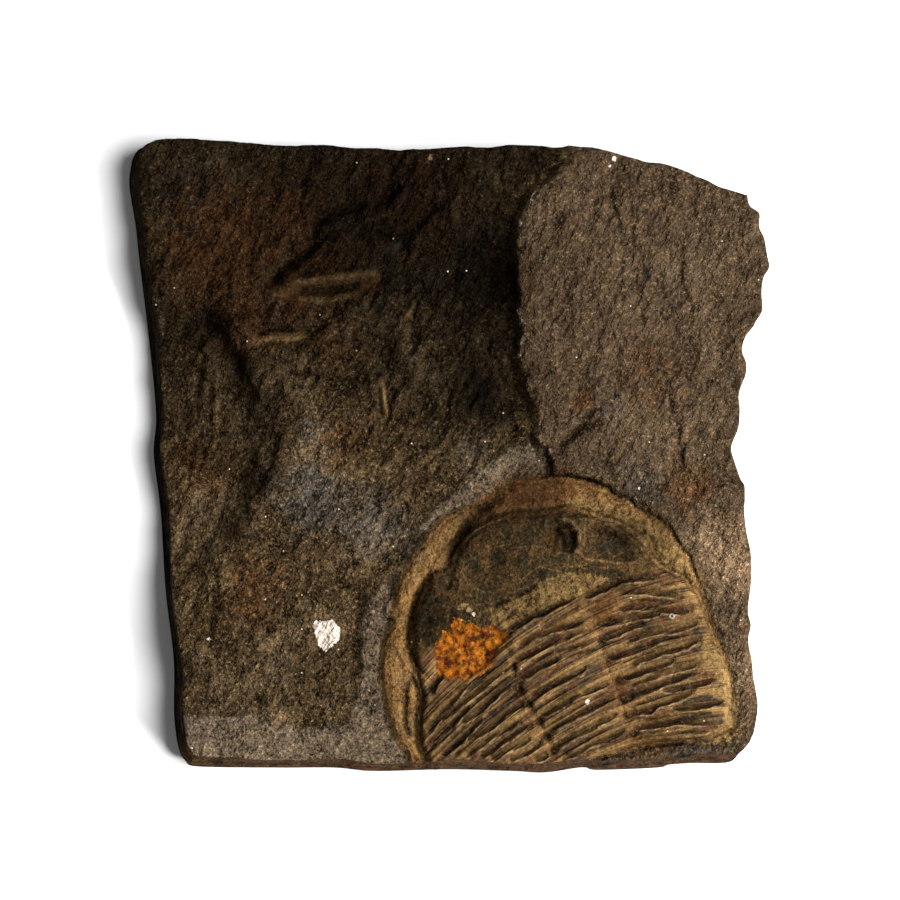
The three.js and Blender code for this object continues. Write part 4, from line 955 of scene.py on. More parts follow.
def layer_steps(x, y, size, seed, turn, stretch):
    """Ragged little steps where thin layers have split off, level between them."""
    layers = 2.6 * rugged(x, y, size, seed, octaves=3, gain=0.45, turn=turn, stretch=stretch)
    level = np.floor(layers)
    return smooth((0.75, 1.0), layers - level) + level - layers


def stone_relief(x, y, areas):
    """Swells, split layers, ripples and grain of the broken shale."""
    left_back = smooth((14, -6), x) * smooth((-14, 12), y)
    on_plateau = smooth((-0.5, 1.5), areas["plateau"])
    on_spall = smooth((0, 3), areas["spall"])
    z = STONE_SWELL * rugged(x, y, SWELL_SIZE, 11, octaves=3, gain=0.5)
    z += FLAKE_STEP * layer_steps(x, y, FLAKE_SIZE, 21, RIPPLE_BEARING, 2.0) * (1 - 0.5 * on_plateau)
    ripple = rugged(x, y, RIPPLE_SIZE, 31, octaves=2, gain=0.5, turn=RIPPLE_BEARING, stretch=3.2)
    z += RIPPLE_HEIGHT * (0.3 + 0.7 * left_back) * ripple * (1 - on_plateau)
    upright = rugged(x, y, UPRIGHT_SIZE, 36, octaves=2, gain=0.5, turn=UPRIGHT_BEARING, stretch=3.5)
    z += RIPPLE_HEIGHT * np.maximum(0.6 * on_plateau, on_spall) * upright
    return z + STONE_GRAIN * rugged(x, y, GRAIN_SIZE, 41, octaves=2, gain=0.65)


def line_relief(x, y, lines):
    """Cut lines, and raised ones with a negative depth."""
    z = np.zeros(x.shape)
    for points, width, depth in lines:
        distance, _, along = nearest(curved(points), x, y, 4 * width)
        z -= depth * np.exp(-(distance / width) ** 2) * end_taper(along)
    return z


def fine_relief(x, y, areas):
    """Everything on the face that is finer than the frame's facets."""
    shield = smooth(SHIELD_EDGE, areas["shield"])
    ledge = either_ledge(areas, LEDGE_SCARP)
    marks = smooth((-0.7, 0.5), areas["marks"])
    z = stone_relief(x, y, areas) * (1 - shield) * (1 - 0.8 * ledge) * (1 - 0.85 * marks)
    z += step_relief(x, y, FINE_STEPS) * (1 - shield)
    z += LEDGE_GRAIN * ledge * rugged(x, y, LEDGE_GRAIN_SIZE, 51, octaves=2)
    brim = shield * (1 - smooth((-0.3, 0.8), areas["body"]))
    grain = rugged(x, y, FOSSIL_GRAIN_SIZE, 61, octaves=2, gain=0.7)
    z += (FOSSIL_GRAIN + BRIM_GRAIN * brim) * shield * grain
    z += line_relief(x, y, FINE_GROOVES)
    rust = smooth((-0.3, 0.8), areas["rust"])
    z += RUST_CRUMB * rust * rugged(x, y, RUST_CRUMB_SIZE, 71, octaves=2, gain=0.7)
    band = smooth((-0.4, 0.9), areas["crumbs"])
    z += BACK_BAND_CRUMB * band * rugged(x, y, BACK_BAND_CRUMB_SIZE, 76, octaves=3, gain=0.7)
    cheek = smooth((0.2, 1.5), areas["body"]) * smooth((3, -3), x)
    cheek *= smooth((-19, -23), y) * smooth((-34, -30), y)
    terraces = 0.5 + 0.5 * np.cos(2 * np.pi * areas["body"] / TERRACE_LINE_PITCH)
    return z - TERRACE_LINE_DEPTH * cheek * terraces


def wander(x, y, amount):
    """Places moved about a little, so that what follows a smooth path there becomes ragged."""
    distance, size, seed = amount
    return (
        x + distance * rugged(x, y, size, seed, octaves=4, gain=0.55),
        y + distance * rugged(x, y, size, seed + 10, octaves=4, gain=0.55),
    )


def depth_inside_any(outlines, x, y, reach):
    """Distance to the nearest of several closed outlines, positive inside one."""
    return np.maximum.reduce([depth_inside(outline, x, y, reach) for outline in outlines])


def either_ledge(areas, span):
    """1 on the two smooth ledges, and 0 off them."""
    return np.maximum(smooth(span, areas["front_ledge"]), smooth(span, areas["corner_ledge"]))


def measure_areas(x, y):
    """How deep each place lies in each area of the face."""
    broken_x, broken_y = wander(x, y, BREAK_WANDER)
    return {
        "plateau": depth_inside(PLATEAU, broken_x, broken_y, PLATEAU_REACH),
        "spall": depth_inside(SPALL, broken_x, broken_y),
        "front_ledge": depth_inside(FRONT_LEDGE, broken_x, broken_y, LEDGE_REACH),
        "corner_ledge": depth_inside(CORNER_LEDGE, broken_x, broken_y, LEDGE_REACH),
        "shield": depth_inside(SHIELD, x, y, INWARD_REACH),
        "body": depth_inside(BODY, x, y),
        "rust": depth_inside(RUST_PATCH, x, y, PATCH_REACH),
        "chalk": depth_inside(CHALK_PATCH, x, y, PATCH_REACH),
        "crumbs": depth_inside_any(CRUMB_AREAS, x, y, PATCH_REACH),
        "marks": depth_inside_any(SMOOTH_MARKS, x, y, PATCH_REACH),
    }


def cut_at(x, y, share):
    """A level cut through the slab: 0 at the underside and 1 at the rim, with beds that stand out."""
    undercut = HIDDEN_UNDERCUT * (1 - share) ** 1.5
    bed = np.sin(share * MIDDLE_LEVEL * np.pi / BED_THICKNESS)
    step = BED_STEP * (0.5 - 0.5 * np.tanh(3 * bed)) * share * (1 - share) * 4
    left = smooth(SIDE_SPAN, -x) * (LEFT_BATTER * share ** 2 + step)
    right = smooth(SIDE_SPAN, x) * (undercut + step)
    front = smooth(SIDE_SPAN, -y) * (FRONT_BATTER * share ** 2 + step)
    back = smooth(SIDE_SPAN, y) * (undercut + step)
    return x + left - right, y + front - back


def spread_over_outline(u, v):
    """Places of the unit square, spread over the area inside the four sides."""
    front = along_curve(OUTLINE_FRONT, u)
    back = along_curve(OUTLINE_BACK, u)
    left = along_curve(OUTLINE_LEFT, v)
    right = along_curve(OUTLINE_RIGHT, v)
    places = []
    for axis in (0, 1):
        across = front[axis] * (1 - v) + back[axis] * v + left[axis] * (1 - u) + right[axis] * u
        near = OUTLINE_FRONT[0][axis] * (1 - u) + OUTLINE_FRONT[-1][axis] * u
        far = OUTLINE_BACK[0][axis] * (1 - u) + OUTLINE_BACK[-1][axis] * u
        places.append(across - near * (1 - v) - far * v)
    return places


def crowd(share, span):
    """Moves even shares so that cells are smaller over the fossil, from the span's start to its end."""
    start, end = span
    samples = np.linspace(0, 1, 400)
    density = 1 + FOSSIL_DENSITY * smooth((start - 0.06, start + 0.04), samples)
    density *= 1 - (FOSSIL_DENSITY / (1 + FOSSIL_DENSITY)) * smooth((end - 0.04, end + 0.06), samples)
    total = np.concatenate([[0], np.cumsum((density[1:] + density[:-1]) / 2)])
    return np.interp(share, total / total[-1], samples)


def block_out():
    """A unit grid for the face, with rings extruded down from its rim and the underside closed."""
    shape = bmesh.new()
    bmesh.ops.create_grid(shape, x_segments=FACE_CELLS, y_segments=FACE_CELLS, size=0.5)
    bmesh.ops.translate(shape, verts=shape.verts, vec=(0.5, 0.5, 1))
    rim = [edge for edge in shape.edges if edge.is_boundary]
    for _ in range(WALL_RINGS):
        grown = bmesh.ops.extrude_edge_only(shape, edges=rim)["geom"]
        verts = [item for item in grown if isinstance(item, bmesh.types.BMVert)]
        bmesh.ops.translate(shape, verts=verts, vec=(0, 0, -1 / WALL_RINGS))
        rim = [item for item in grown if isinstance(item, bmesh.types.BMEdge) and item.is_boundary]
    bmesh.ops.contextual_create(shape, geom=rim)
    bmesh.ops.recalc_face_normals(shape, faces=shape.faces)
    mesh = bpy.data.meshes.new("fossil_slab_stone")
    shape.to_mesh(mesh)
    shape.free()
    return mesh


def rim_line():
    """The rim once round, seen from above."""
    share = np.linspace(0, 1, RIM_STEPS_PER_SIDE)
    runs = []
    for points, back_to_front in (
        (OUTLINE_FRONT, False), (OUTLINE_RIGHT, False), (OUTLINE_BACK, True), (OUTLINE_LEFT, True),
    ):
        x, y = along_curve(points, share[::-1] if back_to_front else share)
        runs.append(np.stack(cut_at(x, y, np.ones(x.shape)), axis=1))
    return np.concatenate(runs)


def wall_roughness(x, y, z, share):
    """How far the broken beds of the sides stand back, in millimetres."""
    around = x + AROUND_SKEW * y
    beds = swirl(around / WALL_BED_LENGTH, z, WALL_BED_SIZE, 81)
    lumps = rugged(around, z, WALL_LUMP_SIZE, 82, octaves=4, gain=0.55, stretch=1.6)
    rough = WALL_BASE + WALL_BEDS * beds + WALL_LUMPS * lumps
    return rough * smooth((0, 0.12), 1 - share) * smooth((0, 0.1), share)


def rim_wear(x, y, share, to_rim):
    """How far the worn rim stands back, in millimetres."""
    wear = rugged(x + AROUND_SKEW * y, 2 * share, RIM_WEAR_SIZE, 95, octaves=4, gain=0.45)
    worn = RIM_WEAR * np.clip(0.5 + 1.6 * wear, 0, 2)
    return worn * np.exp(-to_rim / RIM_WEAR_REACH) * smooth((0.2, 1), share)


def face_height(x, y, areas, to_rim):
    """The height of the face above the underside, with all its relief and chipped edges."""
    shield = smooth(SHIELD_EDGE, areas["shield"])
    calm = np.maximum(shield, smooth(LEDGE_SCARP, areas["front_ledge"]))
    stone = stone_height(x, y, areas) + swell(x, y) * (1 - SWELL_CALMED * calm)
    relief = np.where(areas["shield"] > SHIELD_EDGE[0], fossil_relief(x, y, areas, stone), stone)
    plain = relief + grooves_bumps_and_steps(x, y)
    top = plain + fine_relief(x, y, areas) * smooth(RIM_CALM, to_rim)
    chips = np.clip(1 + 1.4 * rugged(x, y, CHIP_SIZE, 91, octaves=3, gain=0.5), 0.2, 2.4)
    return top - EDGE_CHIP * chips * np.exp(-to_rim / EDGE_CHIP_REACH)


def shape_slab(mesh):
    """Moves the unit block's vertices to the stone's real shape, and says what lies where."""
    count = len(mesh.vertices)
    unit = np.empty(count * 3, np.float32)
    mesh.vertices.foreach_get("co", unit)
    u, v, share = np.clip(unit.reshape(-1, 3).T.astype(float), 0, 1)
    on_face = share > 1 - 0.5 / WALL_RINGS
    share[on_face] = 1
    wide_x, wide_y = spread_over_outline(crowd(u, FOSSIL_SPAN_ACROSS), crowd(v, FOSSIL_SPAN_DEEP))
    x, y = cut_at(wide_x, wide_y, np.ones(count))
    areas = measure_areas(x, y)
    to_rim = np.minimum(nearest(rim_line(), x, y, RIM_REACH)[0], RIM_REACH)
    top = face_height(x, y, areas, to_rim)
    low_x, low_y = cut_at(wide_x, wide_y, share)
    rough = wall_roughness(low_x, low_y, share * top, share) + rim_wear(x, y, share, to_rim)
    low_x -= np.sign(low_x) * smooth(SIDE_SPAN, np.abs(low_x)) * rough
    low_y -= np.sign(low_y) * smooth(SIDE_SPAN, np.abs(low_y)) * rough
    places = np.stack([low_x, low_y, share * top], axis=1)
    places[:, :2] -= (places[:, :2].min(axis=0) + places[:, :2].max(axis=0)) / 2
    low, high = (np.array(corner) / MM for corner in SLAB_BOX)
    places = np.clip(places, low, high)
    mesh.vertices.foreach_set("co", (places * MM).astype(np.float32).ravel())
    mesh.update()
    return x, y, areas, on_face


def note(mesh, name, values):
    """Stores a number between 0 and 1 at each vertex, for the material to read."""
    layer = mesh.attributes.new(name, "FLOAT", "POINT")
    layer.data.foreach_set("value", np.clip(values, 0, 1).astype(np.float32))


def line_gap(x, y, lines):
    """Distance to the nearest line in half widths, growing where a line is shallow or ends."""
    gap = np.full(x.shape, LINE_REACH)
    for points, width, depth in lines:
        distance, _, along = nearest(curved(points), x, y, LINE_REACH * width)
        faint = FAINTNESS * max(0.5 - abs(depth), 0)
        gap = np.minimum(gap, distance / width + faint + LINE_REACH * (1 - long_taper(along)))
    return gap


def step_gap(x, y, offset, width):
    """Distance to a line beside each broken step, in half widths; the offset is positive above it."""
    x, y = wander(x, y, STEP_WANDER)
    gap = np.full(x.shape, LINE_REACH)
    for points, _, _ in BEDDING_STEPS + FINE_STEPS:
        distance, side, along = nearest(curved(points), x, y, STEP_REACH)
        beside = np.abs(side * np.minimum(distance, STEP_REACH) - offset)
        gap = np.minimum(gap, beside / width + LINE_REACH * (1 - long_taper(along)))
    return gap


def furrow_gap(x, y):
    """Distance to the nearest furrow, growing towards its ends, and 1 below it, fading there too."""
    x, y = wander(x, y, RIB_WANDER)
    gap = np.full(x.shape, FURROW_REACH)
    below = np.zeros(x.shape)
    for points in LEFT_FURROWS + AXIS_FURROWS + RIGHT_FURROWS:
        distance, side, along = nearest(curved(points), x, y, FURROW_REACH)
        distance = distance + 0.5 * (1 - long_taper(along)) + FURROW_REACH * (1 - end_taper(along))
        below = np.where(distance < gap, (side < 0) * long_taper(along), below)
        gap = np.minimum(gap, distance)
    return gap / FURROW_REACH, below


def tone_and_painted_shade_patches(x, y, plateau):
    """How dark or pale broad areas of the stone are, from -1 to 1, partly with painted shade."""
    tone_and_painted_shade = BACK_PAINTED_SHADE * smooth(BACK_PAINTED_SHADE_SPAN, y) * (1 - plateau)
    for place, radius, change in TONE_AND_PAINTED_SHADE_PATCHES:
        tone_and_painted_shade += change * bump(x, y, place, radius)
    return np.clip(tone_and_painted_shade, -1, 1)


def stained(x, y, patches):
    """How strongly the places are stained by a list of patches."""
    stain = np.zeros(x.shape)
    for place, radius, strength in patches:
        stain = np.maximum(stain, strength * bump(x, y, place, radius))
    return stain


def note_marks(mesh, x, y, areas, on_face):
    """Stores where each kind of stone, stain and mark lies."""
    plateau = areas["plateau"]
    on_plateau = smooth((-0.5, 0.8), plateau)
    shield = smooth((-0.3, 0.5), areas["shield"])
    body = smooth((-0.2, 0.6), areas["body"])
    # Painted light that lifts the shadow on the plateau's scarp and at its foot
    scarp_painted_light = 0.3 * smooth(SCARP_APPROACH, plateau) + 0.7 * smooth(SCARP_FOOT, plateau)
    chips = smooth(CHIPS_OUTER, plateau) * smooth(CHIPS_INNER, plateau) * smooth(CHIPS_RIGHT_END, x)
    # The border furrow, which the material paints darker as shade
    border_furrow_shade = 1 - np.abs(2 * areas["body"] / BORDER_FURROW_WIDTH + 0.6)
    lines = GROOVES + FINE_GROOVES
    cuts = line_gap(x, y, [line for line in lines if line[2] > 0])
    crests = line_gap(x, y, [line for line in lines if line[2] < 0])
    furrows, below = furrow_gap(x, y)
    face_marks = {
        "shield": shield,
        "body": body,
        "thorax": smooth(THORAX_START, y - THORAX_SKEW * (x - THORAX_MIDDLE)) * body,
        "red": stained(x, y, RED_PATCHES),
        "blue": stained(x, y, BLUE_PATCHES),
        "border_furrow_shade": border_furrow_shade * shield,
        "plateau": on_plateau * (1 - shield),
        "ledge": either_ledge(areas, (-0.3, 0.6)) * (1 - shield),
        "rust": smooth((-1.2, 0.9), areas["rust"]),
        "chalk": smooth((-0.6, 0.5), areas["chalk"]),
        "crumbs": smooth((-0.8, 0.8), areas["crumbs"]),
        "scarp_painted_light": scarp_painted_light * smooth(SCARP_TOP, plateau) * smooth(SCARP_FRONT_END, y),
        "chips": chips * (1 - shield),
        "marks": smooth((-0.7, 0.7), areas["marks"]),
        "pit_shade": np.maximum.reduce([bump(x, y, pit, AXIS_PIT_RADIUS) for pit in AXIS_PITS]),
    }
    for name, values in face_marks.items():
        note(mesh, name, values * on_face)
    on_body = body * on_face
    note(mesh, "furrow_gap", furrows * on_body + 1 - on_body)
    note(mesh, "below_furrow", below)
    note(mesh, "tone_and_painted_shade", 0.5 + 0.5 * tone_and_painted_shade_patches(x, y, on_plateau))
    # Lines painted darker as shade: the cuts, and a strip below each broken step
    note(mesh, "crack_and_step_shadow_gap", np.minimum(cuts, step_gap(x, y, -0.4, 0.8) + 0.5) / LINE_REACH)
    # Lines painted paler as highlight: the raised lines, and a strip above each broken step
    note(mesh, "crest_gap", np.minimum(crests, step_gap(x, y, 0.8, 0.5) + 0.9) / LINE_REACH)
    note(mesh, "inward", areas["shield"] / INWARD_REACH)
    note(mesh, "side", 1 - on_face)
    note(mesh, "front", smooth(FRONT_SIDE_START, y))


class Wire:
    """A socket of a material's nodes. Sums, products and powers of wires add the Math nodes they need."""

    def __init__(self, tree, socket=None):
        self.tree = tree
        self.socket = socket

    def node(self, kind, settings=None, inputs=None, output=0):
        """Adds one node: its settings first, then the values or links of its sockets."""
        added = self.tree.nodes.new(kind)
        for name, value in (settings or {}).items():
            setattr(added, name, value)
        for name, value in (inputs or {}).items():
            if isinstance(value, Wire):
                self.tree.links.new(value.socket, added.inputs[name])
            else:
                added.inputs[name].default_value = value
        return Wire(self.tree, added.outputs[output])

    def maths(self, operation, first, second=0.0):
        return self.node("ShaderNodeMath", {"operation": operation}, {0: first, 1: second})

    def __add__(self, other):
        return self.maths("ADD", self, other)

    __radd__ = __add__

    def __sub__(self, other):
        return self.maths("SUBTRACT", self, other)

    def __rsub__(self, other):
        return self.maths("SUBTRACT", other, self)

    def __mul__(self, other):
        return self.maths("MULTIPLY", self, other)

    __rmul__ = __mul__

    def __pow__(self, other):
        return self.maths("POWER", self, other)

    def larger(self, other):
        return self.maths("MAXIMUM", self, other)

    def above(self, start, end):
        """0 below the start, 1 above the end, and smooth between them."""
        settings = {"interpolation_type": "SMOOTHSTEP"}
        inputs = {"Value": self, "From Min": start, "From Max": end}
        return self.node("ShaderNodeMapRange", settings, inputs)

    def mask(self, name):
        """A number stored at the vertices of the mesh."""
        return self.node("ShaderNodeAttribute", {"attribute_name": name}, output="Fac")

    def scaled(self, colour, gain):
        """A colour made brighter or darker."""
        return self.node("ShaderNodeVectorMath", {"operation": "SCALE"}, {0: colour, "Scale": gain})

    def blend(self, under, over, share):
        """One colour over another, by a share."""
        settings = {"data_type": "RGBA", "clamp_factor": True}
        colours = {0: share, 6: paint(under), 7: paint(over)}
        return self.node("ShaderNodeMix", settings, colours, output=2)


def paint(colour):
    """A wire as it is, or a colour with its alpha."""
    return colour if isinstance(colour, Wire) else (*colour[:3], 1.0)


# Colours, as linear red, green and blue
SHALE_BROWN = (0.037, 0.0232, 0.0102)
SHALE_GOLD = (0.084, 0.056, 0.029)
RED_BROWN = (0.072, 0.029, 0.0095)
BLUE_GREY = (0.042, 0.0395, 0.0345)
GOLD_GRAIN_AND_HIGHLIGHT = (0.25, 0.16, 0.075)
PLATEAU_BROWN = (0.055, 0.0355, 0.0205)
LEDGE_GREY = (0.083, 0.06, 0.038)
BRIM_TAN = (0.16, 0.086, 0.029)
BRIM_BROWN = (0.062, 0.031, 0.01)
HEAD_OLIVE = (0.029, 0.02, 0.0088)
HEAD_BROWN = (0.06, 0.034, 0.0125)
THORAX_OCHRE = (0.18, 0.103, 0.037)
THORAX_OLIVE = (0.028, 0.021, 0.0135)
THORAX_RED = (0.09, 0.038, 0.0155)
# Near black for painted shade in furrows, cracks and pits
PAINTED_SHADE_BROWN = (0.008, 0.0042, 0.0016)
BRIGHT_RUST = (0.16, 0.046, 0.0045)
YELLOW_RUST = (0.25, 0.095, 0.01)
CRUMB_TAN = (0.138, 0.083, 0.03)
MAROON = (0.035, 0.009, 0.004)
CHALK = (0.6, 0.5, 0.42)
EDGE_RUST = (0.078, 0.038, 0.017)
EDGE_TAN = (0.15, 0.09, 0.044)
EDGE_DARK = (0.01, 0.0068, 0.0038)
FLOOR_PALE = (0.92, 0.92, 0.92)

# How much the dry stone shines
SHALE_SHINE = 0.02

# Sizes of the clouds, grains and streaks in the material, in millimetres, and the share of flecks
CLOUD_SIZE = 9.0
ROCK_SIZE = 2.6
GRIT_SIZE = 0.6
RAGGED_SIZE = 1.2
FINE_GRAIN = 0.27
MOTTLE_SIZE = 3.4
CRAZING_SIZE = 3.4
RIB_STREAK_SIZE = 1.5
FLECK_SPACING = 3.2
FLECK_SHARE = 0.045

# Streaks of the plateau's colour and of the broken stone's relief: size, bearing, stretch, detail
PLATEAU_STREAKS = (2.4, 76, 3.5, 4.0)
STONE_STREAKS = (2.0, 57, 2.8, 3.0)

# How much each pattern counts in the finest relief, in millimetres
ROCK_BUMP = 1.9
GRIT_BUMP = 0.55
STREAK_BUMP = 1.7
DIP_BUMP = 0.22
CREST_BUMP = 0.14
RIB_BUMP = 2.3

# How strongly each pattern changes the tone of the stone's grains, and how much paler areas are
# Rock and grit are also the finest bump, so their tone paints the grains' hollows darker as shade
ROCK_TONE_AND_SHADE = 2.7
GRIT_TONE_AND_SHADE = 3.4
FINE_TONE = 0.9
CLOUD_TONE = 1.4
DARKEST_TONE = 0.12
# How much painted light lifts the shadow on the plateau's scarp
SCARP_PAINTED_LIGHT_GAIN = 4.0
MARKS_GAIN = 0.45

# The same for the sides, where rock and grit also paint the bump's hollows darker as shade
SIDE_ROCK_TONE_AND_SHADE = 3.0
SIDE_GRIT_TONE_AND_SHADE = 2.0
DARKEST_SIDE_TONE = 0.15

# Roughness of the smoothest grains, and how much more the roughest ones have
SMOOTHEST = 0.65
ROUGHNESS_RANGE = 0.25

# How ragged the edges of stains and patches are, as a share of the mask's height
RED_RAGGED = 1.4
BLUE_RAGGED = 1.6
CRUMBS_RAGGED = 1.2
RUST_RAGGED = 2.6
CHALK_RAGGED = 1.8
CHIPS_RAGGED = 3.0
STAIN_FOOT = (0.02, 0.25)
CRUMBS_FOOT = (0.02, 0.3)
PATCH_FOOT = (0.05, 0.3)

# Specks: how ragged their edges are in millimetres, and how strong their colour is
CHALK_SPECK_LOOK = (1.6, 1.0)
TAN_SPECK_LOOK = (4.0, 0.7)

# The lines of the thorax rise at 45 degrees where they start on the left, and bend level to the right
RIB_START = -3.0
RIB_BEND = 0.009
RIB_SQUASH = 0.075


def grain_of(wire, place, size, detail=2.0, roughness=0.6, distortion=0.0):
    """Cloudy noise with clouds of a size in millimetres."""
    inputs = {
        "Vector": place, "Scale": 1 / (size * MM), "Detail": detail, "Roughness": roughness,
        "Distortion": distortion,
    }
    return wire.node("ShaderNodeTexNoise", None, inputs)


def line_noise(wire, place, scale):
    """Noise along a single number."""
    inputs = {"W": place, "Scale": scale, "Detail": 3.0}
    return wire.node("ShaderNodeTexNoise", {"noise_dimensions": "1D"}, inputs)


def streaks_of(wire, place, size, bearing, stretch, detail):
    """Cloudy noise drawn out along a bearing on the face."""
    turned = wire.node(
        "ShaderNodeMapping",
        {"vector_type": "TEXTURE"},
        {"Vector": place, "Rotation": (0, 0, math.radians(bearing)), "Scale": (stretch, 1, 1)},
    )
    return grain_of(wire, turned, size, detail)


def cells_of(wire, place, size):
    """A random shade for each grain of a size in millimetres."""
    inputs = {"Vector": place, "Scale": 1 / (size * MM)}
    cell = wire.node("ShaderNodeTexVoronoi", None, inputs, output="Color")
    return wire.node("ShaderNodeSeparateColor", None, {"Color": cell})


def away_from(wire, place, spot):
    """Distance in millimetres from a spot on the face, seen from above."""
    flat = wire.node("ShaderNodeVectorMath", {"operation": "MULTIPLY"}, {0: place, 1: (1, 1, 0)})
    centre = (spot[0] * MM, spot[1] * MM, 0)
    settings = {"operation": "DISTANCE"}
    away = wire.node("ShaderNodeVectorMath", settings, {0: flat, 1: centre}, output="Value")
    return away * (1 / MM)


def stone_colour(wire, place, clouds):
    """Brown-black shale, golden in places, paler on the plateau and the ledges."""
    golden = clouds.above(0.44, 0.66) * (0.25 + wire.mask("tone_and_painted_shade") * 0.9)
    patchy = wire.blend(SHALE_BROWN, SHALE_GOLD, golden)
    patchy = wire.blend(patchy, PLATEAU_BROWN, wire.mask("plateau") * 0.85)
    streaks = streaks_of(wire, place, *PLATEAU_STREAKS)
    patchy = wire.blend(patchy, SHALE_BROWN, wire.mask("plateau") * streaks.above(0.5, 0.68) * 0.6)
    return wire.blend(patchy, LEDGE_GREY, wire.mask("ledge") * 0.9)


def rib_streaks(wire, place):
    """Noise drawn out along the ribs, which turn from steep on the left to level on the right."""
    x = wire.node("ShaderNodeSeparateXYZ", None, {"Vector": place}, output="X")
    y = wire.node("ShaderNodeSeparateXYZ", None, {"Vector": place}, output="Y")
    from_start = x - RIB_START * MM
    level = y - from_start + from_start * from_start * (RIB_BEND / MM)
    turned = wire.node("ShaderNodeCombineXYZ", None, {"X": x * RIB_SQUASH, "Y": level})
    return grain_of(wire, turned, RIB_STREAK_SIZE, 3.0, 0.55)


def crazing(wire, place, lines):
    """Fine broken cracks, 1 along them."""
    inputs = {"Vector": place, "Scale": 1 / (CRAZING_SIZE * MM)}
    edges = wire.node("ShaderNodeTexVoronoi", {"feature": "DISTANCE_TO_EDGE"}, inputs)
    return 1 - (edges + (lines - 0.5) * 0.2).above(0.0, 0.05)


def fossil_colour(wire, place, clouds, lines):
    """A tan brim banded along its edge, an olive-grey head with pale cracks, and ochre ribs."""
    mottle = grain_of(wire, place, MOTTLE_SIZE, 5.0, 0.65, 0.5)
    brim = wire.blend(BRIM_TAN, SHALE_GOLD, clouds.above(0.45, 0.7) * 0.6)
    bands = line_noise(wire, wire.mask("inward") * INWARD_REACH + (mottle - 0.5) * 3.0, 1.1)
    brim = wire.blend(brim, BRIM_BROWN, bands.above(0.48, 0.6) * 0.75)
    head = wire.blend(HEAD_OLIVE, HEAD_BROWN, mottle.above(0.46, 0.6))
    head = wire.blend(head, THORAX_OCHRE, crazing(wire, place, lines) * 0.3)
    # The ribs' ochre tops and olive hollows follow the rib bump: partly the fossil's colours, partly
    # painted light and shade
    thorax = wire.blend(THORAX_OLIVE, THORAX_OCHRE, lines.above(0.38, 0.62))
    reddened = (1 - lines.above(0.46, 0.56)) * mottle.above(0.46, 0.58)
    thorax = wire.blend(thorax, THORAX_RED, reddened * 0.8)
    colour = wire.blend(brim, head, wire.mask("body"))
    return wire.blend(colour, thorax, wire.mask("thorax"))


def patchy_mask(wire, name, noise, loose, foot):
    """A stored mask with its edges broken up by noise, and nothing below the foot's start."""
    mask = wire.mask(name)
    return (mask + (noise - 0.5) * loose) * mask.above(*foot)


def tinted(wire, place, colour, grit):
    """Smooth tan marks, reddish and bluish areas, single grains of both, and golden crumbs."""
    ragged = grain_of(wire, place, 2.4, 5.0, 0.7, 0.4)
    colour = wire.blend(colour, THORAX_OCHRE, wire.mask("marks") * ragged.above(0.3, 0.5) * 0.45)
    reddish = patchy_mask(wire, "red", ragged, RED_RAGGED, STAIN_FOOT).above(0.05, 0.8) * 0.85
    colour = wire.blend(colour, RED_BROWN, reddish.larger(ragged.above(0.56, 0.7) * 0.35))
    bluish = patchy_mask(wire, "blue", 1 - ragged, BLUE_RAGGED, STAIN_FOOT).above(0.1, 0.9) * 0.75
    single = 1 - wire.mask("shield") * 0.5 - wire.mask("thorax") * 0.3
    bluish = bluish.larger((1 - ragged.above(0.3, 0.42)) * 0.4)
    colour = wire.blend(colour, BLUE_GREY, bluish * single)
    crumbly = patchy_mask(wire, "crumbs", grit, CRUMBS_RAGGED, CRUMBS_FOOT).above(0.25, 0.75)
    return wire.blend(colour, CRUMB_TAN, crumbly * 0.85)


def furrow_line(wire):
    """1 at the bottom of the thorax's furrows, fading to 0 close beside them."""
    return (1 - (wire.mask("furrow_gap") * FURROW_REACH).above(0.0, 0.7)) * 0.9


def near_line(wire, name, ragged, end):
    """1 along the lines of a stored distance, fading to 0 at their ragged edges."""
    loose = 2.0 - wire.mask("thorax").larger(wire.mask("marks")) * 1.5
    return 1 - (wire.mask(name) * LINE_REACH + (ragged - 0.5) * loose).above(0.2, end)


def crest_line(wire, ragged):
    """1 along raised lines and on the upper edge of each rib, fading to 0 beside them."""
    raised = near_line(wire, "crest_gap", ragged, 1.2)
    near = wire.mask("furrow_gap") * FURROW_REACH
    rib = near.above(0.4, 0.65) * (1 - near.above(0.65, 1.1)) * wire.mask("below_furrow")
    return raised.larger(rib)


def line_colours(wire, place, colour, dips, crests):
    """Painted shade in the furrows and cracks, chips on the plateau's edge, and painted highlight on
    crests.
    """
    patchy = grain_of(wire, place, 2.0, 4.0, 0.65)
    shaded = 1 - (wire.mask("furrow_gap") * FURROW_REACH).above(0.0, 1.5)
    # Painted shade: darker in the furrows, the pits, the border furrow, the cracks and below the broken
    # steps
    painted_furrow_shade = dips.larger(shaded * 0.75).larger(wire.mask("pit_shade").above(0.2, 0.8) * 0.9)
    painted_furrow_shade = painted_furrow_shade.larger(wire.mask("border_furrow_shade").above(0.35, 1.1) * 0.85)
    colour = wire.blend(colour, PAINTED_SHADE_BROWN, painted_furrow_shade * patchy.above(0.2, 0.5))
    chips = (wire.mask("chips") + (patchy - 0.5) * CHIPS_RAGGED).above(1.15, 1.35)
    colour = wire.blend(colour, CHALK, chips * 0.35)
    # Painted highlight along the raised lines, above the broken steps and on the upper edge of each rib
    crest_highlight = crests * patchy.above(0.35, 0.55) * (0.4 + wire.mask("thorax") * 0.4)
    return wire.blend(colour, GOLD_GRAIN_AND_HIGHLIGHT, crest_highlight)


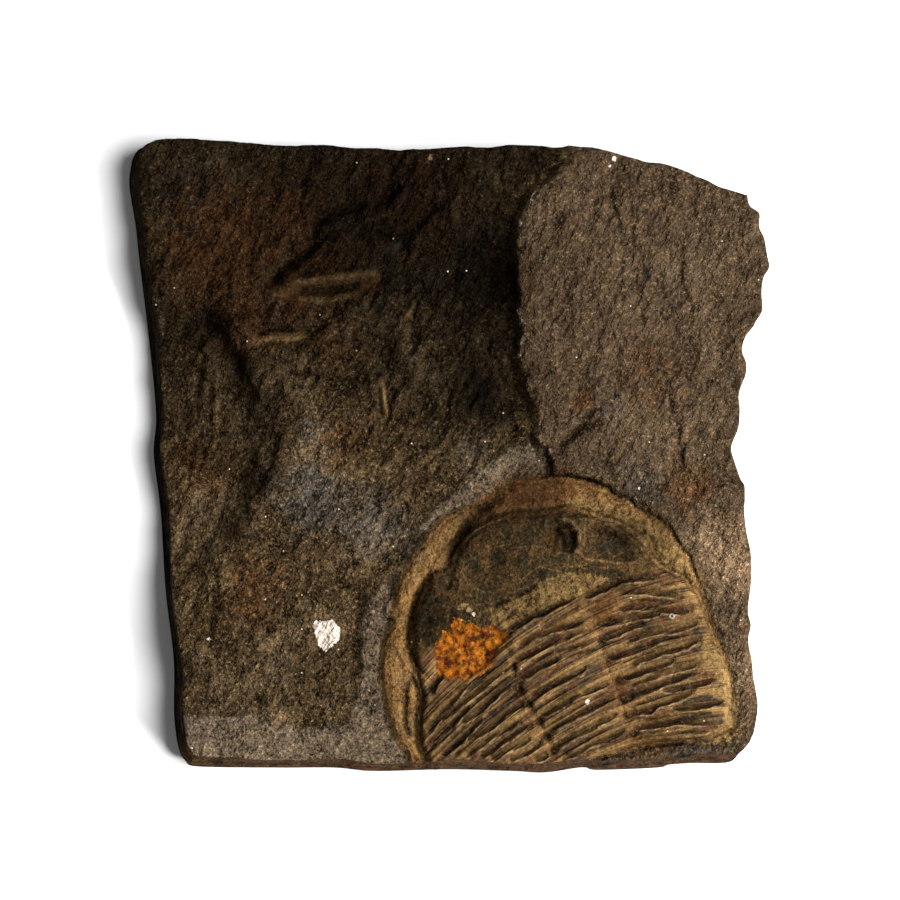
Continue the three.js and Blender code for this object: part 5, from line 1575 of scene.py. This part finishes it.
def specks(wire, place, colour, ragged):
    """Single pale specks, a small ring-shaped pit, and a scatter of white flecks."""
    for spots, fill, (loose, strength) in (
        (CHALK_SPECKS, CHALK, CHALK_SPECK_LOOK),
        (TAN_SPECKS, GOLD_GRAIN_AND_HIGHLIGHT, TAN_SPECK_LOOK),
    ):
        for spot, radius in spots:
            away = away_from(wire, place, spot) + (ragged - 0.5) * loose
            inside = 1 - away.above(radius * 0.6, radius)
            colour = wire.blend(colour, fill, inside * strength)
    spot, radius = RING_PIT
    away = away_from(wire, place, spot)
    ring = away.above(0.1, radius) * (1 - away.above(radius, 0.6))
    # Painted shade in the middle of the small pit
    colour = wire.blend(colour, PAINTED_SHADE_BROWN, 1 - away.above(0.1, 0.3))
    colour = wire.blend(colour, CHALK, ring * 0.6)
    flat = {"voronoi_dimensions": "2D"}
    cells = {"Vector": place, "Scale": 1 / (FLECK_SPACING * MM)}
    away = wire.node("ShaderNodeTexVoronoi", flat, cells)
    chance = wire.node("ShaderNodeTexVoronoi", flat, cells, output="Color")
    chance = wire.node("ShaderNodeSeparateColor", None, {"Color": chance})
    flecks = chance.above(1 - FLECK_SHARE, 1.005 - FLECK_SHARE) * (1 - away.above(0.03, 0.055))
    return wire.blend(colour, CHALK, flecks * 0.8)


def stain_colours(wire, place, colour, ragged):
    """The rust-orange patch with maroon spots and the white patch."""
    rust = wire.blend(BRIGHT_RUST, YELLOW_RUST, grain_of(wire, place, 1.4, 4.0).above(0.5, 0.68))
    rust = wire.blend(rust, MAROON, grain_of(wire, place, 2.2, 5.0, 0.7).above(0.49, 0.58) * 0.9)
    rust = wire.scaled(rust, ragged * 4.6 - 1.15)
    rusty = patchy_mask(wire, "rust", ragged, RUST_RAGGED, PATCH_FOOT).above(0.35, 0.6)
    colour = wire.blend(colour, rust, rusty)
    chalky = patchy_mask(wire, "chalk", ragged, CHALK_RAGGED, PATCH_FOOT).above(0.4, 0.6)
    return wire.blend(colour, wire.scaled(CHALK, ragged * 1.2 + 0.4), chalky)


def side_colour(wire, place, clouds, rock, grit):
    """Thin uneven beds, painted near black as shade on the hidden sides, stained rusty and tan at the
    front.
    """
    height = wire.node("ShaderNodeSeparateXYZ", None, {"Vector": place}, output="Z")
    wobble = grain_of(wire, place, 6.0, 4.0)
    beds = line_noise(wire, height * (1 / MM) + wobble * 3.0 + rock * 1.2, 0.9)
    # The sides away from the near one are painted near black as shade
    shaded_sides = wire.blend(EDGE_DARK, SHALE_BROWN, beds.above(0.5, 0.68))
    front = wire.blend(EDGE_RUST, SHALE_BROWN, beds.above(0.48, 0.6))
    front = wire.blend(front, EDGE_TAN, beds.above(0.58, 0.66) * clouds.above(0.42, 0.6) * 0.8)
    front = wire.blend(front, EDGE_DARK, wobble.above(0.52, 0.64) * 0.75)
    colour = wire.blend(shaded_sides, front, wire.mask("front") * 0.9)
    # Rock and grit are also the bump, so this tone paints the sides' hollows darker as shade
    tone = (rock - 0.5) * SIDE_ROCK_TONE_AND_SHADE + (grit - 0.5) * SIDE_GRIT_TONE_AND_SHADE + 1.0
    return wire.scaled(colour, tone.larger(DARKEST_SIDE_TONE))


def grain_tone(wire, clouds, rock, grit, fine):
    """How bright each grain is: hollows of the bump painted darker as shade, areas with a shade of their
    own.
    """
    soft = 1 - wire.mask("shield") * 0.3 - wire.mask("thorax") * 0.2 - wire.mask("plateau") * 0.3
    soft = soft - wire.mask("marks") * 0.5
    # Random grain tone, with painted shade where the bump is low
    grain_tone_and_shade = (rock - 0.5) * ROCK_TONE_AND_SHADE + (grit - 0.5) * GRIT_TONE_AND_SHADE + (fine - 0.5) * FINE_TONE
    tone = (1.0 + grain_tone_and_shade * soft + (clouds - 0.5) * CLOUD_TONE).larger(DARKEST_TONE)
    tone_and_painted_shade = (wire.mask("tone_and_painted_shade") * 2) ** TONE_AND_SHADE_POWER
    # The scarp's gain is painted light that lifts its shadow
    return tone * tone_and_painted_shade * (1 + wire.mask("scarp_painted_light") * SCARP_PAINTED_LIGHT_GAIN + wire.mask("marks") * MARKS_GAIN)


def stone_bump(wire, place, rock, grit, dips, crests, lines):
    """The finest relief: rough on broken stone, softer on the ledges and the fossil, with cut lines."""
    calm = 1 - wire.mask("shield") * 0.4 - wire.mask("thorax") * 0.3
    rough = (1 - wire.mask("ledge") * 0.5) * calm * (1 - wire.mask("marks") * 0.6)
    ripples = streaks_of(wire, place, *STONE_STREAKS) * (1 - wire.mask("shield")) * STREAK_BUMP
    relief = (rock * ROCK_BUMP + grit * GRIT_BUMP + ripples) * rough
    ribs = lines * wire.mask("thorax") * (1 - wire.mask("rust"))
    relief = relief - dips * DIP_BUMP + crests * CREST_BUMP + ribs * RIB_BUMP
    return wire.node("ShaderNodeBump", None, {"Height": relief * MM, "Distance": 1.0, "Strength": 1.0})


def shale_material():
    """Weathered shale, dull and grainy, with the fossil and the stains on it."""
    material = bpy.data.materials.new("weathered_shale")
    material.use_nodes = True
    tree = material.node_tree
    tree.nodes.clear()
    wire = Wire(tree)
    place = wire.node("ShaderNodeTexCoord", output="Object")
    clouds = grain_of(wire, place, CLOUD_SIZE, 5.0, 0.62)
    rock = grain_of(wire, place, ROCK_SIZE, 4.0, 0.66, 0.2)
    grit = grain_of(wire, place, GRIT_SIZE, 2.0, 0.8)
    ragged = grain_of(wire, place, RAGGED_SIZE, 3.0, 0.7)
    fine = cells_of(wire, place, FINE_GRAIN)
    lines = rib_streaks(wire, place)
    # Furrows and cracks: cut into the bump, and painted darker as shade
    dips = furrow_line(wire).larger(near_line(wire, "crack_and_step_shadow_gap", ragged, 1.3))
    crests = crest_line(wire, ragged)
    stone = stone_colour(wire, place, clouds)
    colour = wire.blend(stone, fossil_colour(wire, place, clouds, lines), wire.mask("shield"))
    colour = tinted(wire, place, colour, grit)
    colour = line_colours(wire, place, colour, dips * 0.8, crests)
    golden = grit.above(0.56, 0.72) * (1 - wire.mask("shield") * 0.4)
    colour = wire.blend(colour, GOLD_GRAIN_AND_HIGHLIGHT, golden * 0.3)
    colour = wire.scaled(colour, grain_tone(wire, clouds, rock, grit, fine))
    colour = stain_colours(wire, place, colour, ragged)
    colour = specks(wire, place, colour, ragged)
    colour = wire.blend(colour, side_colour(wire, place, clouds, rock, grit), wire.mask("side"))
    shader = wire.node(
        "ShaderNodeBsdfPrincipled",
        None,
        {
            "Base Color": colour,
            "Roughness": SMOOTHEST + fine * ROUGHNESS_RANGE,
            "Normal": stone_bump(wire, place, rock, grit, dips, crests, lines),
            "Specular IOR Level": SHALE_SHINE,
        },
    )
    output = tree.nodes.new("ShaderNodeOutputMaterial")
    tree.links.new(shader.socket, output.inputs["Surface"])
    return material


def make_slab():
    """The whole stone as one closed piece."""
    mesh = block_out()
    note_marks(mesh, *shape_slab(mesh))
    mesh.materials.append(shale_material())
    mesh.shade_smooth()
    slab = bpy.data.objects.new("fossil_slab_stone", mesh)
    bpy.context.scene.collection.objects.link(slab)
    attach(slab, "root")
    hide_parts("fossil_slab")


# The photograph's framing, in its own pixels, and the size of one of its pixels on the slab's face
FRAME_PIXELS = 900
MM_PER_PIXEL = 0.175
SLAB_MIDDLE_PIXEL = (448.5, 456.0)
LENS_MM = 500.0
SENSOR_MM = 36.0
FACE_HEIGHT = 9.5

# The weak white fill, and the floor's half width in metres
FILL_STRENGTH = 0.16
FLOOR_SIZE = 3.0
FLOOR_ROUGHNESS = 0.9

# A soft box on the right, and a lower light at the near right that rakes the relief: size in metres,
# power, bearing and height in degrees
LIGHT_DISTANCE = 0.9
LIGHTS = {
    "soft_box": (0.62, 14.5, 10, 52),
    "raking_light": (0.28, 10.5, -30, 31),
}


def place_camera():
    """Straight above the slab, with its far edge at the top of the picture."""
    data = bpy.data.cameras.new("overhead")
    data.lens = LENS_MM
    data.sensor_width = SENSOR_MM
    camera = bpy.data.objects.new("overhead", data)
    distance = FRAME_PIXELS * MM_PER_PIXEL * LENS_MM / SENSOR_MM
    right = (FRAME_PIXELS / 2 - SLAB_MIDDLE_PIXEL[0]) * MM_PER_PIXEL
    up = (SLAB_MIDDLE_PIXEL[1] - FRAME_PIXELS / 2) * MM_PER_PIXEL
    camera.location = Vector((right, up, FACE_HEIGHT + distance)) * MM
    bpy.context.scene.collection.objects.link(camera)
    bpy.context.scene.camera = camera


def aim(light, azimuth, elevation, distance):
    """Puts a light at a bearing from the slab, in degrees anticlockwise from +X, facing the slab."""
    turn = math.radians(azimuth)
    rise = math.radians(elevation)
    way = Vector((math.cos(turn) * math.cos(rise), math.sin(turn) * math.cos(rise), math.sin(rise)))
    light.location = way * distance
    light.rotation_euler = way.to_track_quat("Z", "Y").to_euler()


def add_light(name, size, power, azimuth, elevation):
    """A round soft light, facing the slab."""
    data = bpy.data.lights.new(name, "AREA")
    data.shape = "DISK"
    data.size = size
    data.energy = power
    light = bpy.data.objects.new(name, data)
    aim(light, azimuth, elevation, LIGHT_DISTANCE)
    bpy.context.scene.collection.objects.link(light)


def light_studio():
    """The two lights, and a weak white fill from all sides."""
    for name, (size, power, azimuth, elevation) in LIGHTS.items():
        add_light(name, size, power, azimuth, elevation)
    world = bpy.data.worlds.new("studio")
    world.use_nodes = True
    background = world.node_tree.nodes["Background"]
    background.inputs["Color"].default_value = (1, 1, 1, 1)
    background.inputs["Strength"].default_value = FILL_STRENGTH
    bpy.context.scene.world = world
    bpy.context.scene.view_settings.view_transform = "Standard"


def lay_floor():
    """A plain pale floor."""
    shape = bmesh.new()
    bmesh.ops.create_grid(shape, x_segments=1, y_segments=1, size=FLOOR_SIZE)
    mesh = bpy.data.meshes.new("floor")
    shape.to_mesh(mesh)
    shape.free()
    material = bpy.data.materials.new("pale_floor")
    material.use_nodes = True
    shader = material.node_tree.nodes["Principled BSDF"]
    shader.inputs["Base Color"].default_value = paint(FLOOR_PALE)
    shader.inputs["Roughness"].default_value = FLOOR_ROUGHNESS
    mesh.materials.append(material)
    floor = bpy.data.objects.new("floor", mesh)
    bpy.context.scene.collection.objects.link(floor)


make_slab()
place_camera()
light_studio()
lay_floor()
